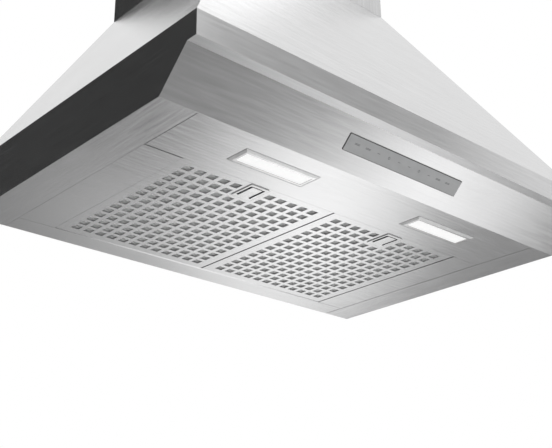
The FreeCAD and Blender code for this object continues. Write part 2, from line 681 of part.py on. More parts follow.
def make_filter_cover(side, middle):
    """Perforated tray of a filter, with rear tabs, a latch window and a slot for the latch nose."""
    half = "(" + FILTER_WIDTH + " / 2)"
    front = "-" + FILTER_FRONT
    rear = "-" + FILTER_REAR
    cover = new_body("filter_cover_" + side)
    face = new_sketch(cover, "XY_Plane", "cover_face_" + side)
    draw_box(face, "-" + half, half, front, rear)
    pad(cover, face, "cover_sheet")
    walls = new_sketch(cover, "XY_Plane", "cover_walls_" + side)
    draw_box(walls, "-" + half, half, front, rear)
    within = half + " - cover_sheet"
    draw_box(walls, "-(" + within + ")", within, front + " + cover_sheet", rear + " - cover_sheet")
    pad(cover, walls, "filter_height")

    tabs = new_sketch(cover, "XY_Plane", "cover_tabs_" + side, "skin + rest_gap")
    for sign in ("-", ""):
        spot = sign + "tab_spread / 2"
        draw_box(tabs, spot + " - tab_width / 2", spot + " + tab_width / 2", rear, rear + " + tab_reach")
    pad(cover, tabs, "tab_sheet")
    for sign, name in (("-", "_first_"), ("", "_second_")):
        bead = new_sketch(cover, "YZ_Plane", "cover_bead" + name + side, sign + "tab_spread / 2")
        draw_circle(bead, "-(opening_rear + bead_forward)", "skin + bead_level", "bead_radius")
        pad(cover, bead, "tab_width", "Symmetric")
    slot = new_sketch(cover, "XZ_Plane", "cover_nose_slot_" + side, FILTER_FRONT)
    nose_low = "(nose_level - nose_slot_gap)"
    nose_high = "(nose_level + nose_height + nose_slot_gap)"
    nose_half = "(nose_width / 2 + nose_slot_gap)"
    draw_box(slot, "-latch_offset - " + nose_half, "-latch_offset + " + nose_half, nose_low, nose_high)
    pocket(cover, slot, SHEET_THROUGH)
    window = new_sketch(cover, "XY_Plane", "cover_latch_window_" + side)
    draw_box(window, "-latch_window / 2", "latch_window / 2", "-" + LATCH_FRONT, "-" + LATCH_REAR)
    pocket(cover, window, SHEET_THROUGH)

    columns = "floor((" + FILTER_WIDTH + " - 2 * hole_margin - hole_side) / hole_pitch)"
    rows = "floor((" + FILTER_LENGTH + " - 2 * hole_margin - hole_side) / hole_pitch)"
    span_x = "(" + columns + " * hole_pitch)"
    span_y = "(" + rows + " * hole_pitch)"
    left = "-" + span_x + " / 2"
    low = "-(" + FILTER_FRONT + " + " + FILTER_REAR + ") / 2 - " + span_y + " / 2"
    less = " - hole_side / 2"
    plus = " + hole_side / 2"
    hole = new_sketch(cover, "XY_Plane", "cover_hole_" + side)
    draw_box(hole, left + less, left + plus, low + less, low + plus)
    first = pocket(cover, hole, SHEET_THROUGH)
    grid_pattern(cover, first, span_x, columns + " + 1", span_y, rows + " + 1")
    place(cover, middle)


def make_filter_filling(side, middle):
    """Mesh pack that lies in the tray, cut out round the latch, and the barred frame that holds it."""
    half = "(" + FILTER_WIDTH + " / 2 - cover_sheet - mesh_gap)"
    front = "-(" + FILTER_FRONT + " - cover_sheet - mesh_gap)"
    rear = "-(" + FILTER_REAR + " + cover_sheet + mesh_gap)"
    bay = "(latch_window / 2 + mesh_gap)"
    bay_rear = "-(" + LATCH_REAR + " - mesh_gap)"
    around = [
        ("-" + half, front),
        ("-" + bay, front),
        ("-" + bay, bay_rear),
        (bay, bay_rear),
        (bay, front),
        (half, front),
        (half, rear),
        ("-" + half, rear),
    ]
    mesh = profile_body("filter_mesh_" + side, "XY_Plane", around, "mesh_height", offset="cover_sheet")
    place(mesh, middle)

    frame = new_body("filter_frame_" + side)
    level = "cover_sheet + mesh_height"
    ring = new_sketch(frame, "XY_Plane", "frame_ring_" + side, level)
    draw_box(ring, "-" + half, half, front, rear)
    pad(frame, ring, "frame_sheet")
    step_x = "((2 * " + half + " - 2 * frame_band + frame_bar) / frame_windows)"
    step_y = "(((" + rear + ") - (" + front + ") - 2 * frame_band + frame_bar) / frame_windows)"
    corner_x = "(frame_band - " + half + ")"
    corner_y = "(" + front + " + frame_band)"
    far_x = corner_x + " + " + step_x + " - frame_bar"
    far_y = corner_y + " + " + step_y + " - frame_bar"
    light = new_sketch(frame, "XY_Plane", "frame_window_" + side, level)
    draw_box(light, corner_x, far_x, corner_y, far_y)
    first = pocket(frame, light, "4 * frame_sheet")
    more = " * (frame_windows - 1)"
    grid_pattern(frame, first, step_x + more, "frame_windows", step_y + more, "frame_windows")
    place(frame, middle)


def make_latch_plate(side, middle):
    """Plate that fills the latch window, raised below the cover and open for the finger tab."""
    plate = new_body("latch_plate_" + side)
    within = "(latch_window / 2 - fit_gap)"
    base = new_sketch(plate, "XY_Plane", "latch_base_" + side)
    draw_box(
        base, "-" + within, within, "-(" + LATCH_FRONT + " - fit_gap)", "-(" + LATCH_REAR + " + fit_gap)"
    )
    pad(plate, base, "cover_sheet")
    raised = new_sketch(plate, "XY_Plane", "latch_raised_" + side)
    draw_box(
        raised, "-latch_offset - latch_width / 2", "-latch_offset + latch_width / 2",
        "-" + RAISED_FRONT, "-" + RAISED_REAR,
    )
    pad(plate, raised, "latch_proud", reverse=True)
    opening = new_sketch(plate, "XY_Plane", "latch_opening_" + side)
    draw_box(
        opening, "-latch_offset - " + LATCH_OPEN_HALF, "-latch_offset + " + LATCH_OPEN_HALF,
        "-" + LATCH_OPEN_FRONT, "-" + LATCH_OPEN_REAR,
    )
    pocket(plate, opening, "4 * latch_proud")
    hook = new_sketch(plate, "XY_Plane", "latch_spring_hole_" + side)
    hook_side = LATCH_OPEN_HALF + " - latch_offset - spring_hole / 3"
    draw_circle(hook, hook_side, "-" + LATCH_OPEN_REAR, "spring_hole")
    pocket(plate, hook, "4 * latch_proud")
    place(plate, middle)


def make_latch_tab(side, middle):
    """Finger tab below the latch plate, with a stem, a keeper above the plate and a nose."""
    front = "(" + LATCH_OPEN_FRONT + " - rest_gap)"
    rear = "(" + LATCH_OPEN_REAR + " - latch_lap)"
    stem_front = "(" + front + " - stem_setback)"
    stem_rear = "(" + stem_front + " - stem_length)"
    foot = "-(latch_proud + fit_gap)"
    body = new_body("latch_tab_" + side)

    def add_block(name, level, half, ends, height, reverse=False):
        sketch = new_sketch(body, "XY_Plane", name + "_" + side, level)
        draw_box(sketch, "-" + half, half, "-" + ends[0], "-" + ends[1])
        pad(body, sketch, height, reverse=reverse)

    add_block("latch_face", foot, "latch_tab_width / 2", (front, rear), "latch_sheet", True)
    stem = "nose_level + latch_proud + fit_gap"
    add_block("latch_stem", foot, "nose_width / 2", (stem_front, stem_rear), stem)
    keeper_half = "(" + LATCH_OPEN_HALF + " + keeper_lap)"
    keeper_level = "cover_sheet + fit_gap"
    add_block("latch_keeper", keeper_level, keeper_half, (stem_front, stem_rear), "keeper_sheet")
    nose = "(" + FILTER_FRONT + " + nose_reach)"
    add_block("latch_nose", "nose_level", "nose_width / 2", (nose, stem_rear), "nose_height")
    place(body, middle + " - latch_offset")


def volute(inset, top):
    """Side view of the scroll: three quarter turns of growing radius and an upright outlet."""
    axis_y = -value("scroll_wall_gap")
    axis_z = value("scroll_height")
    least = value("scroll_radius")
    step = value("scroll_step")
    rear = axis_y + least + 3 * step - inset
    tongue_y = axis_y + inset
    tongue_z = axis_z + math.sqrt((least - inset) ** 2 - inset ** 2)

    def point(y, z):
        return FreeCAD.Vector(0, y, z)

    def quarter(centre_y, centre_z, radius, start, end, degrees):
        turn = math.radians(degrees)
        middle = point(centre_y + radius * math.cos(turn), centre_z + radius * math.sin(turn))
        return Part.Arc(start, middle, end).toShape()

    outlet_front = point(tongue_y, top)
    tongue = point(tongue_y, tongue_z)
    front = point(axis_y - least + inset, axis_z)
    bottom = point(axis_y + step, axis_z - least - step + inset)
    back = point(rear, axis_z + step)
    outlet_rear = point(rear, top)
    edges = [
        Part.makeLine(outlet_front, tongue),
        quarter(axis_y, axis_z, least - inset, tongue, front, 135),
        quarter(axis_y + step, axis_z, least + step - inset, front, bottom, 225),
        quarter(axis_y + step, axis_z + step, least + 2 * step - inset, bottom, back, 315),
        Part.makeLine(back, outlet_rear),
        Part.makeLine(outlet_rear, outlet_front),
    ]
    return Part.Face(Part.Wire(edges))


def make_scroll():
    """Blower scroll: a wrapped strip with a flange under the top plate, and two flat cheeks."""
    wall = value("scroll_sheet")
    width = value("scroll_width")
    flange = value("scroll_flange")
    reach = value(SCROLL_REACH)
    top = value(PLATE_BOTTOM)
    axis_y = -value("scroll_wall_gap")
    axis_z = value("scroll_height")
    along = FreeCAD.Vector(1, 0, 0)

    def drawn(inset, height, left, length):
        face = volute(inset, height)
        face.translate(along * left)
        return face.extrude(along * length)

    start = wall - width / 2
    between = width - 2 * wall
    rim = Part.makeBox(width + 2 * flange, reach + 2 * flange, wall)
    rim.translate(FreeCAD.Vector(-width / 2 - flange, axis_y - flange, top - wall))
    wrap = drawn(0, top, start, between).fuse(rim).cut(drawn(wall, top + wall, start, between))
    for across, back in scroll_screw_places():
        spot = FreeCAD.Vector(value(across), value(back), top - 2 * wall)
        wrap = wrap.cut(Part.makeCylinder(value("screw_radius + fit_gap"), 4 * wall, spot))
    place(plain_solid("scroll_wrap", wrap.removeSplitter()))
    for side, left in (("left", -width / 2), ("right", width / 2 - wall)):
        centre = FreeCAD.Vector(left - wall, axis_y, axis_z)
        inlet = Part.makeCylinder(value("inlet_radius"), 4 * wall, centre, along)
        place(plain_solid("scroll_cheek_" + side, drawn(0, top - wall, left, wall).cut(inlet)))


def make_inlet(side, sign):
    """Rolled inlet ring: a flat lip outside the cheek and a throat that reaches into the scroll."""
    body = new_body("inlet_ring_" + side)
    sketch = new_sketch(body, "XZ_Plane", "inlet_section_" + side)
    cheek = "scroll_width / 2"
    throat = "(inlet_radius - fit_gap)"
    corners = [
        (cheek + " + inlet_sheet", throat + " - inlet_sheet"),
        (cheek + " + inlet_sheet", "inlet_radius + inlet_lip"),
        (cheek, "inlet_radius + inlet_lip"),
        (cheek, throat),
        (cheek + " - inlet_throat", throat),
        (cheek + " - inlet_throat", throat + " - inlet_sheet"),
    ]
    draw_outline(sketch, [(sign + "(" + across + ")", up) for across, up in corners])
    revolve(body, sketch, "H_Axis")
    place(body, "0", "-scroll_wall_gap", "scroll_height")


def make_impeller():
    """Squirrel cage: swept blades between a middle disc with a hub and two end rings."""
    inner = "(impeller_radius - blade_depth)"
    halfway = "(impeller_radius - blade_depth / 2)"
    tip = "impeller_radius - blade_seat"
    sheet_half = "blade_sheet / 2"
    ring_face = "(impeller_width / 2 - ring_sheet)"
    section = [
        ("-" + sheet_half, inner),
        (sheet_half, inner),
        ("blade_bow + " + sheet_half, halfway),
        ("blade_sweep + " + sheet_half, tip),
        ("blade_sweep - " + sheet_half, tip),
        ("blade_bow - " + sheet_half, halfway),
    ]
    hub = new_body("impeller_hub")
    disc = new_sketch(hub, "YZ_Plane", "disc_section")
    draw_circle(disc, "0", "0", "impeller_radius")
    pad(hub, disc, "disc_sheet", "Symmetric")
    boss = new_sketch(hub, "YZ_Plane", "hub_section")
    draw_circle(boss, "0", "0", "hub_radius")
    pad(hub, boss, "hub_length", "Symmetric")
    bore = new_sketch(hub, "YZ_Plane", "hub_bore")
    draw_circle(bore, "0", "0", "shaft_radius")
    pocket(hub, bore, "2 * hub_length")
    place(hub, "0", "-scroll_wall_gap", "scroll_height")
    for side, sign in (("left", "-"), ("right", "")):
        blades = new_body("impeller_blades_" + side)
        blades.AllowCompound = True
        blade = new_sketch(blades, "YZ_Plane", "blade_section_" + side, sign + "disc_sheet / 2")
        draw_outline(blade, section)
        first = pad(blades, blade, ring_face + " - disc_sheet / 2", reverse=sign == "-")
        pattern(blades, first, "X_Axis", None, "blade_count", "PolarPattern")
        place(blades, "0", "-scroll_wall_gap", "scroll_height")
        ring = new_body("impeller_ring_" + side)
        hoop = new_sketch(ring, "YZ_Plane", "ring_section_" + side, sign + ring_face)
        draw_circle(hoop, "0", "0", "impeller_radius")
        draw_circle(hoop, "0", "0", inner)
        pad(ring, hoop, "ring_sheet", reverse=sign == "-")
        place(ring, "0", "-scroll_wall_gap", "scroll_height")


def make_motor():
    """Motor with a stepped bearing boss, its shaft, and the bracket that hangs it in the inlet."""
    boss_end = "-(" + HUB_END + " + motor_gap)"
    face = "(" + boss_end + " - motor_nose_length)"
    back = "(" + face + " - motor_length)"
    bore = "(shaft_radius + shaft_gap)"
    body = new_body("motor")
    section = new_sketch(body, "XZ_Plane", "motor_section")
    draw_outline(section, [
        (boss_end, bore),
        (boss_end, "motor_nose"),
        (face, "motor_nose"),
        (face, "motor_radius - motor_chamfer"),
        (face + " - motor_chamfer", "motor_radius"),
        (back + " + motor_chamfer", "motor_radius"),
        (back, "motor_radius - motor_chamfer"),
        (back, "0"),
        (boss_end + " - shaft_grip", "0"),
        (boss_end + " - shaft_grip", bore),
    ])
    revolve(body, section, "H_Axis")
    slot = new_sketch(body, "YZ_Plane", "motor_air_slot", back)
    draw_box(
        slot, "-motor_slot / 2", "motor_slot / 2", "2 * motor_slot", "motor_radius - 2 * motor_chamfer"
    )
    first = pocket(body, slot, "2 * motor_slot_depth")
    pattern(body, first, "X_Axis", None, "motor_slot_count", "PolarPattern")
    place(body, "0", "-scroll_wall_gap", "scroll_height")

    shaft = new_body("motor_shaft")
    round_bar = new_sketch(shaft, "YZ_Plane", "shaft_section", boss_end + " - shaft_grip + rest_gap")
    draw_circle(round_bar, "0", "0", "shaft_radius")
    pad(shaft, round_bar, HUB_END + " - (" + boss_end + ") + shaft_grip - rest_gap")
    place(shaft, "0", "-scroll_wall_gap", "scroll_height")

    bracket = new_body("motor_bracket")
    ring_at = "-(scroll_width / 2 + inlet_sheet)"
    foot = new_sketch(bracket, "YZ_Plane", "bracket_ring", ring_at)
    draw_circle(foot, "0", "0", "motor_radius + arm_sheet")
    draw_circle(foot, "0", "0", "motor_radius")
    pad(bracket, foot, "arm_width", reverse=True)
    arm = new_sketch(bracket, "YZ_Plane", "bracket_arm", ring_at)
    draw_box(
        arm, "-arm_width / 2", "arm_width / 2", "motor_radius + arm_sheet / 2", "inlet_radius + inlet_lip"
    )
    first = pad(bracket, arm, "arm_sheet", reverse=True)
    pattern(bracket, first, "X_Axis", None, "arm_count", "PolarPattern")
    place(bracket, "0", "-scroll_wall_gap", "scroll_height")


def make_collar():
    """Duct collar with a flange, a pair of pin holes for each flap and a ledge that stops the flaps."""
    inner = "(duct_radius - collar_wall)"
    ledge_top = "(flap_level - flap_sheet / 2 - rest_gap)"
    body = new_body("duct_collar")
    section = new_sketch(body, "XZ_Plane", "collar_section")
    draw_outline(section, [
        (inner, ledge_top),
        (inner + " - flap_ledge", ledge_top),
        (inner + " - flap_ledge", ledge_top + " - flap_ledge_height"),
        (inner, ledge_top + " - flap_ledge_height"),
        (inner, "0"),
        ("duct_radius + collar_flange", "0"),
        ("duct_radius + collar_flange", "collar_flange_sheet"),
        ("duct_radius", "collar_flange_sheet"),
        ("duct_radius", "collar_height"),
        (inner, "collar_height"),
    ])
    revolve(body, section, "V_Axis")
    pins = new_sketch(body, "XZ_Plane", "collar_pin_holes")
    for sign in ("-", ""):
        draw_circle(pins, sign + "flap_offset", "flap_level", "flap_pin + shaft_gap")
    pocket(body, pins, "4 * duct_radius")
    holes = new_sketch(body, "XY_Plane", "collar_screw_holes")
    for across, back in collar_screw_places():
        draw_circle(holes, across, back + " + " + OUTLET_MIDDLE, "screw_radius + fit_gap")
    pocket(body, holes, "4 * collar_flange_sheet")
    place(body, "0", "-" + OUTLET_MIDDLE, CANOPY_TOP)


def make_flap(side, sign):
    """A half round damper flap on its pin."""
    reach = "(duct_radius - collar_wall - flap_gap)"
    body = new_body("damper_flap_" + side)
    face = new_sketch(body, "XY_Plane", "flap_face_" + side, "-flap_sheet / 2")
    draw_circle(face, "0", "0", reach)
    pad(body, face, "flap_sheet")
    trim = new_sketch(body, "XY_Plane", "flap_trim_" + side)
    other = "" if sign == "-" else "-"
    draw_box(trim, sign + "flap_offset", other + "(2 * duct_radius)", "-2 * duct_radius", "2 * duct_radius")
    pocket(body, trim, "4 * flap_sheet")
    pin = new_sketch(body, "XZ_Plane", "flap_pin_" + side)
    draw_circle(pin, sign + "flap_offset", "0", "flap_pin")
    pad(body, pin, "2 * (duct_radius - flap_pin_recess)", "Symmetric")
    place(body, "0", "-" + OUTLET_MIDDLE, CANOPY_TOP + " + flap_level")


def make_screws(label, places, seat):
    """A group of pan head screws whose heads sit at one level."""
    level = value(seat)
    solids = []
    for across, back in places:
        spot = FreeCAD.Vector(value(across), value(back), level)
        head = Part.makeCylinder(value("screw_head"), value("screw_head_height"), spot)
        below = spot - FreeCAD.Vector(0, 0, value("screw_length"))
        solids.append(head.fuse(Part.makeCylinder(value("screw_radius"), value("screw_length"), below)))
    place(plain_solid(label, Part.makeCompound([item.removeSplitter() for item in solids])))


def chimney_outline(inset):
    """Plan of a chimney cover: three walls and two edges folded in at the wall."""
    side = "(" + CHIMNEY_HALF + " - " + inset + ")"
    front = "-(chimney_depth - " + inset + ")"
    back = "-(" + inset + ")"
    edge = "(" + side + " - chimney_return)"
    outside = [
        ("-" + edge, back), ("-" + side, back), ("-" + side, front),
        (side, front), (side, back), (edge, back),
    ]
    side_in = "(" + side + " - chimney_sheet)"
    back_in = back + " - chimney_sheet"
    front_in = front + " + chimney_sheet"
    inside = [
        (edge, back_in), (side_in, back_in), (side_in, front_in),
        ("-" + side_in, front_in), ("-" + side_in, back_in), ("-" + edge, back_in),
    ]
    return outside + inside


def make_chimney():
    """Lower cover on the canopy, and the upper cover that slides inside it, with vent slots."""
    plan = chimney_outline("0")
    place(profile_body("chimney_lower", "XY_Plane", plan, "lower_height", offset=CANOPY_TOP))
    plan = chimney_outline(CHIMNEY_INSET)
    upper = profile_body("chimney_upper", "XY_Plane", plan, "upper_height", offset=UPPER_BOTTOM)
    vent = new_sketch(upper, "YZ_Plane", "vent_slot")
    middle = "-chimney_depth / 2"
    top = UPPER_BOTTOM + " + upper_height - vent_drop"
    draw_box(vent, middle + " - vent_length / 2", middle + " + vent_length / 2", top + " - vent_height", top)
    first = pocket(upper, vent, ALL_THROUGH)
    slots = pattern(upper, first, "Z_Axis", "vent_pitch * (vent_count - 1)", "vent_count")
    slots.Reversed = True
    doc.recompute()
    place(upper)


def make_chimney_bracket():
    """Wall bracket between the folded edges of the upper chimney, at its top."""
    side = "(" + CHIMNEY_HALF + " - " + CHIMNEY_INSET + " - chimney_sheet)"
    back = "-(" + CHIMNEY_INSET + " + chimney_sheet)"
    foot = UPPER_BOTTOM + " + upper_height - bracket_height"
    bracket = new_body("chimney_bracket")
    strip = new_sketch(bracket, "XY_Plane", "bracket_strip", foot)
    edge = "(" + CHIMNEY_HALF + " - " + CHIMNEY_INSET + " - chimney_return - rest_gap)"
    depth = back + " - bracket_depth"
    draw_outline(strip, [
        ("-" + edge, "0"),
        (edge, "0"),
        (edge, back),
        (side, back),
        (side, depth),
        (side + " - bracket_sheet", depth),
        (side + " - bracket_sheet", back + " - bracket_sheet"),
        ("-(" + side + " - bracket_sheet)", back + " - bracket_sheet"),
        ("-(" + side + " - bracket_sheet)", depth),
        ("-" + side, depth),
        ("-" + side, back),
        ("-" + edge, back),
    ])
    pad(bracket, strip, "bracket_height")
    holes = new_sketch(bracket, "XZ_Plane", "bracket_holes")
    level = foot + " + bracket_height / 2"
    for sign in ("-", ""):
        draw_circle(holes, sign + "bracket_spread / 2", level, "bracket_hole / 2")
    pocket(bracket, holes, ALL_THROUGH)
    place(bracket)


def make_electrics():
    """Electronics box with its lid on the back sheet, and the cable gland in the top plate."""
    for label, start, depth, rim in (
        ("electronics_box", "skin", "box_depth", "0"),
        ("electronics_lid", "skin + box_depth", "lid_depth", "lid_overhang"),
    ):
        box = new_body(label)
        face = new_sketch(box, "XZ_Plane", label + "_face", start)
        half = "(box_width / 2 + " + rim + ")"
        draw_box(face, "-" + half, half, "box_level - " + rim, "box_level + box_height + " + rim)
        pad(box, face, depth)
        fillet_edges(box, FreeCAD.Vector(0, 1, 0), "box_round")
        place(box, HALF + " - box_margin")
    gland = new_body("cable_gland")
    section = new_sketch(gland, "XZ_Plane", "gland_section")
    draw_outline(section, [
        ("gland_bore", "-skin - gland_tail"),
        ("gland_thread", "-skin - gland_tail"),
        ("gland_thread", "gland_height / 2"),
        ("gland_cap", "gland_height"),
        ("gland_bore", "gland_height"),
    ])
    revolve(gland, section, "V_Axis")
    nut = new_sketch(gland, "XY_Plane", "gland_nut")
    turns = ["%d deg" % angle for angle in range(0, 360, 60)]
    draw_outline(nut, [
        ("gland_radius * cos(" + turn + ")", "gland_radius * sin(" + turn + ")") for turn in turns
    ])
    draw_circle(nut, "0", "0", "(gland_bore + gland_thread) / 2")
    pad(gland, nut, "gland_height / 2")
    place(gland, "gland_side", "-gland_wall_gap", CANOPY_TOP)


LEFT_FILTER = "-opening_half + filter_left_gap + " + FILTER_WIDTH + " / 2"
RIGHT_FILTER = "opening_half - filter_gap - " + FILTER_WIDTH + " / 2"

make_canopy_front()
make_canopy_side("canopy_side_left", "-")
make_canopy_side("canopy_side_right", "")
make_canopy_back()
make_canopy_top()
make_light_panel()
make_filter_surround()
make_control()
make_light("left", "-")
make_light("right", "")
for filter_side, filter_middle in (("left", LEFT_FILTER), ("right", RIGHT_FILTER)):
    make_filter_cover(filter_side, filter_middle)
    make_filter_filling(filter_side, filter_middle)
    make_latch_plate(filter_side, filter_middle)
    make_latch_tab(filter_side, filter_middle)
make_scroll()
make_inlet("left", "-")
make_inlet("right", "")
make_impeller()
make_motor()
make_collar()
make_flap("left", "-")
make_flap("right", "")
make_screws("collar_screws", collar_screw_places(), CANOPY_TOP + " + collar_flange_sheet")
make_screws("scroll_screws", scroll_screw_places(), CANOPY_TOP)
make_chimney()
make_chimney_bracket()
make_electrics()
doc.recompute()

# Every feature has to be sound before anything is written
for item in doc.Objects:
    if "Invalid" in item.State or "Error" in item.State:
        raise ValueError(item.Label + " failed: " + str(item.State))
for piece in nodes:
    if piece.Shape.isNull() or not piece.Shape.isValid():
        raise ValueError(piece.Label + " has no sound shape")

os.makedirs("parts", exist_ok=True)
for piece in nodes:
    piece.Shape.exportStep("parts/" + piece.Label + ".step")
    box = piece.Shape.BoundBox
    print("%-22s %2d solids %10.0f mm3  x %7.1f %7.1f  y %7.1f %7.1f  z %7.1f %7.1f" % (
        piece.Label, len(piece.Shape.Solids), piece.Shape.Volume,
        box.XMin, box.XMax, box.YMin, box.YMax, box.ZMin, box.ZMax,
    ))
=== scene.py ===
import json
import math

import bmesh
import bpy
from bpy.props import FloatProperty, FloatVectorProperty, IntProperty, PointerProperty
from mathutils import Matrix, Vector


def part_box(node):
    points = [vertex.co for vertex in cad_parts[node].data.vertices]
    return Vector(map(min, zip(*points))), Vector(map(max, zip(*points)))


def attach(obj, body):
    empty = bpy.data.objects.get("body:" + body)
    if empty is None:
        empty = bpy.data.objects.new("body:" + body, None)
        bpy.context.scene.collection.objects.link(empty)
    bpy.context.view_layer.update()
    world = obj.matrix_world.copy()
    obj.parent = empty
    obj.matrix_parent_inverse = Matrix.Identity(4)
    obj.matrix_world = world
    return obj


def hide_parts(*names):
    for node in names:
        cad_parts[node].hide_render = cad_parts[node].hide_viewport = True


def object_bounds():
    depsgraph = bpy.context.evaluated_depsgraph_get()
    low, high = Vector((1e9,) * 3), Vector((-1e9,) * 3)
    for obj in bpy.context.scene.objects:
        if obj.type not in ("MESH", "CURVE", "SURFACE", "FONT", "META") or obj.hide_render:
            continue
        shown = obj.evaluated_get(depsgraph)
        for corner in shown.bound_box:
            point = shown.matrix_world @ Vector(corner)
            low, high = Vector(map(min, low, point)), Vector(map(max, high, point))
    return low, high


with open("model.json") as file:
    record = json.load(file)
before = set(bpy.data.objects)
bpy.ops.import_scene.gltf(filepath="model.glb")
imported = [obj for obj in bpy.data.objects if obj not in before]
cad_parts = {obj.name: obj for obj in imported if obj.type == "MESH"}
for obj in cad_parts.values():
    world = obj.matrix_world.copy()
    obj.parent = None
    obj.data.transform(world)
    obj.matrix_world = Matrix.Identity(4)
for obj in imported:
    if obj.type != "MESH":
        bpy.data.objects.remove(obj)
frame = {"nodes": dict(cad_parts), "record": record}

bl_info = {
    "name": "Wall Hood Dressing",
    "version": (1, 0, 0),
    "blender": (4, 5, 0),
    "location": "View3D > Sidebar > Wall Hood",
    "description": "Finishes, filter mesh, touch marks, screws and a stage for a wall mount range hood",
    "category": "Object",
}

CAD_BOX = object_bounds()
NODES = frame["nodes"]
BODIES = frame["record"]["behaviour"]["bodies"]
BODY_OF = {node: body for body, members in BODIES.items() for node in members}
SIDES = ("left", "right")

MILLIMETRE = 1e-3
MICROMETRE = 1e-6
WHITE = (1.0, 1.0, 1.0)

# Joining and rounding of the CAD nodes' copies.
MERGE_DISTANCE = 1 * MICROMETRE
FLAT_ANGLE = math.radians(1)
SHARP_ANGLE = math.radians(30)
SLOPE_ANGLE = math.radians(10)
BEVEL_SEGMENTS = 2

# Limits on a face's normal: beyond LEVEL the face lies level, and within STEEP it stands across.
LEVEL = 0.9
STEEP = 0.5

# The finishes: the middle of a noise's range, and the grain on moulded plastic.
NOISE_LOW = 0.3
NOISE_HIGH = 0.7
PLASTIC_GRAIN = 20 * MICROMETRE

# Small shapes: the front sheet's cut edge, the latches' finger sheets and the slopes of the bezels.
FOLD_MARGIN = 2.0 * MILLIMETRE
FINGER_SHEET = 0.65 * MILLIMETRE
FINGER_GAP = 2.0 * MILLIMETRE
BEZEL_SLOPE = 1.8 * MILLIMETRE
SLOPE_STRETCH = 1.2

# Touch rings and screw heads. Dome and recess are shares of the head's height.
RING_STEPS = 20
HEAD_SQUARES = 7
HEAD_DOME = 0.35
RECESS_DEPTH = 0.6

# The stage.
SENSOR_WIDTH = 36.0
FLOOR_HALF_SIZE = 30.0


class Signal:
    """One output in a node tree. Sums, differences and products of signals become Math nodes."""

    def __init__(self, recipe, socket):
        self.recipe = recipe
        self.socket = socket

    def __add__(self, other):
        return self.recipe.math("ADD", self, other)

    def __sub__(self, other):
        return self.recipe.math("SUBTRACT", self, other)

    def __rsub__(self, other):
        return self.recipe.math("SUBTRACT", other, self)

    def __mul__(self, other):
        return self.recipe.math("MULTIPLY", self, other)

    __radd__ = __add__
    __rmul__ = __mul__


class Recipe:
    """A node tree that is built up one node at a time."""

    def __init__(self, tree):
        self.tree = tree

    def node(self, kind, settings=None, inputs=None, output=0):
        """Add a node: its settings come first, then the values or links of its sockets."""
        made = self.tree.nodes.new("ShaderNode" + kind)
        for name, setting in (settings or {}).items():
            setattr(made, name, setting)
        for socket, given in (inputs or {}).items():
            self.put(made.inputs[socket], given)
        return Signal(self, made.outputs[output])

    def put(self, socket, given):
        """Link a signal to a socket, or set a number or colour on it."""
        if isinstance(given, Signal):
            self.tree.links.new(given.socket, socket)
        elif socket.type == "RGBA":
            socket.default_value = (*given, 1.0)
        else:
            socket.default_value = given

    def math(self, operation, first, second):
        """Add a Math node for two signals or numbers."""
        return self.node("Math", {"operation": operation}, {0: first, 1: second})


class Finish(Recipe):
    """A material around one Principled shader, which reads the piece's own coordinates."""

    def __init__(self, name, **constants):
        self.material = bpy.data.materials.new(name)
        self.material.use_nodes = True
        super().__init__(self.material.node_tree)
        self.shader = self.tree.nodes["Principled BSDF"]
        self.place = self.node("TexCoord", output="Object")
        self.shade(**constants)

    def shade(self, **values):
        """Give the shader's sockets their values. A socket's name is written with underscores."""
        for name, given in values.items():
            self.put(self.shader.inputs[name.replace("_", " ").title().replace("Ior", "IOR")], given)

    def stretched(self, lumps):
        """The piece's coordinates, scaled so that one unit is one lump along each axis."""
        return self.node("Mapping", None, {"Vector": self.place, "Scale": lumps})

    def noise(self, lumps, detail=2.0):
        """Cloudy noise with a number of lumps per metre along each axis."""
        inputs = {"Vector": self.stretched(lumps), "Scale": 1.0, "Detail": detail}
        return self.node("TexNoise", None, inputs)

    def cells(self, lumps, output="Distance"):
        """Crystal-like cells with a number of cells per metre along each axis."""
        return self.node("TexVoronoi", None, {"Vector": self.stretched(lumps), "Scale": 1.0}, output)

    def spread(self, signal, low, high):
        """Stretch the middle of a noise over the range from low to high."""
        limits = {"From Min": NOISE_LOW, "From Max": NOISE_HIGH, "To Min": low, "To Max": high}
        return self.node("MapRange", None, {"Value": signal, **limits})

    def around(self, signal, middle, swing):
        """Let a value swing about its middle with a noise."""
        return self.spread(signal, middle - swing, middle + swing)

    def tint(self, share, first, second):
        """Mix two colours by a share from 0 to 1."""
        return self.node("Mix", {"data_type": "RGBA"}, {0: share, 6: first, 7: second}, 2)

    def mottled(self, signal, colour, darkest, lightest):
        """A colour that a noise makes darker or lighter, between two shares of it."""
        share = self.spread(signal, 0.0, 1.0)
        return self.tint(share, scaled(colour, darkest), scaled(colour, lightest))

    def relief(self, height, depth):
        """Raise and sink the surface by a height signal, whose full swing is depth in metres."""
        self.shade(normal=self.node("Bump", None, {"Strength": 1.0, "Distance": depth, "Height": height}))

    def surface(self, share, first, second):
        """Stand a mix of two shaders in the place of the Principled one."""
        mixed = self.node("MixShader", None, {0: share, 1: first, 2: second})
        self.put(self.tree.nodes["Material Output"].inputs["Surface"], mixed)


def scaled(colour, share):
    """A lighter or darker colour, at most white."""
    return tuple(min(1.0, part * share) for part in colour)


def along(axis, lengthwise, crosswise):
    """Lumps per metre for a grain that runs along one axis."""
    return tuple(lengthwise if name == axis else crosswise for name in "XYZ")


def even(lumps):
    """The same number of lumps per metre along all axes."""
    return (lumps, lumps, lumps)


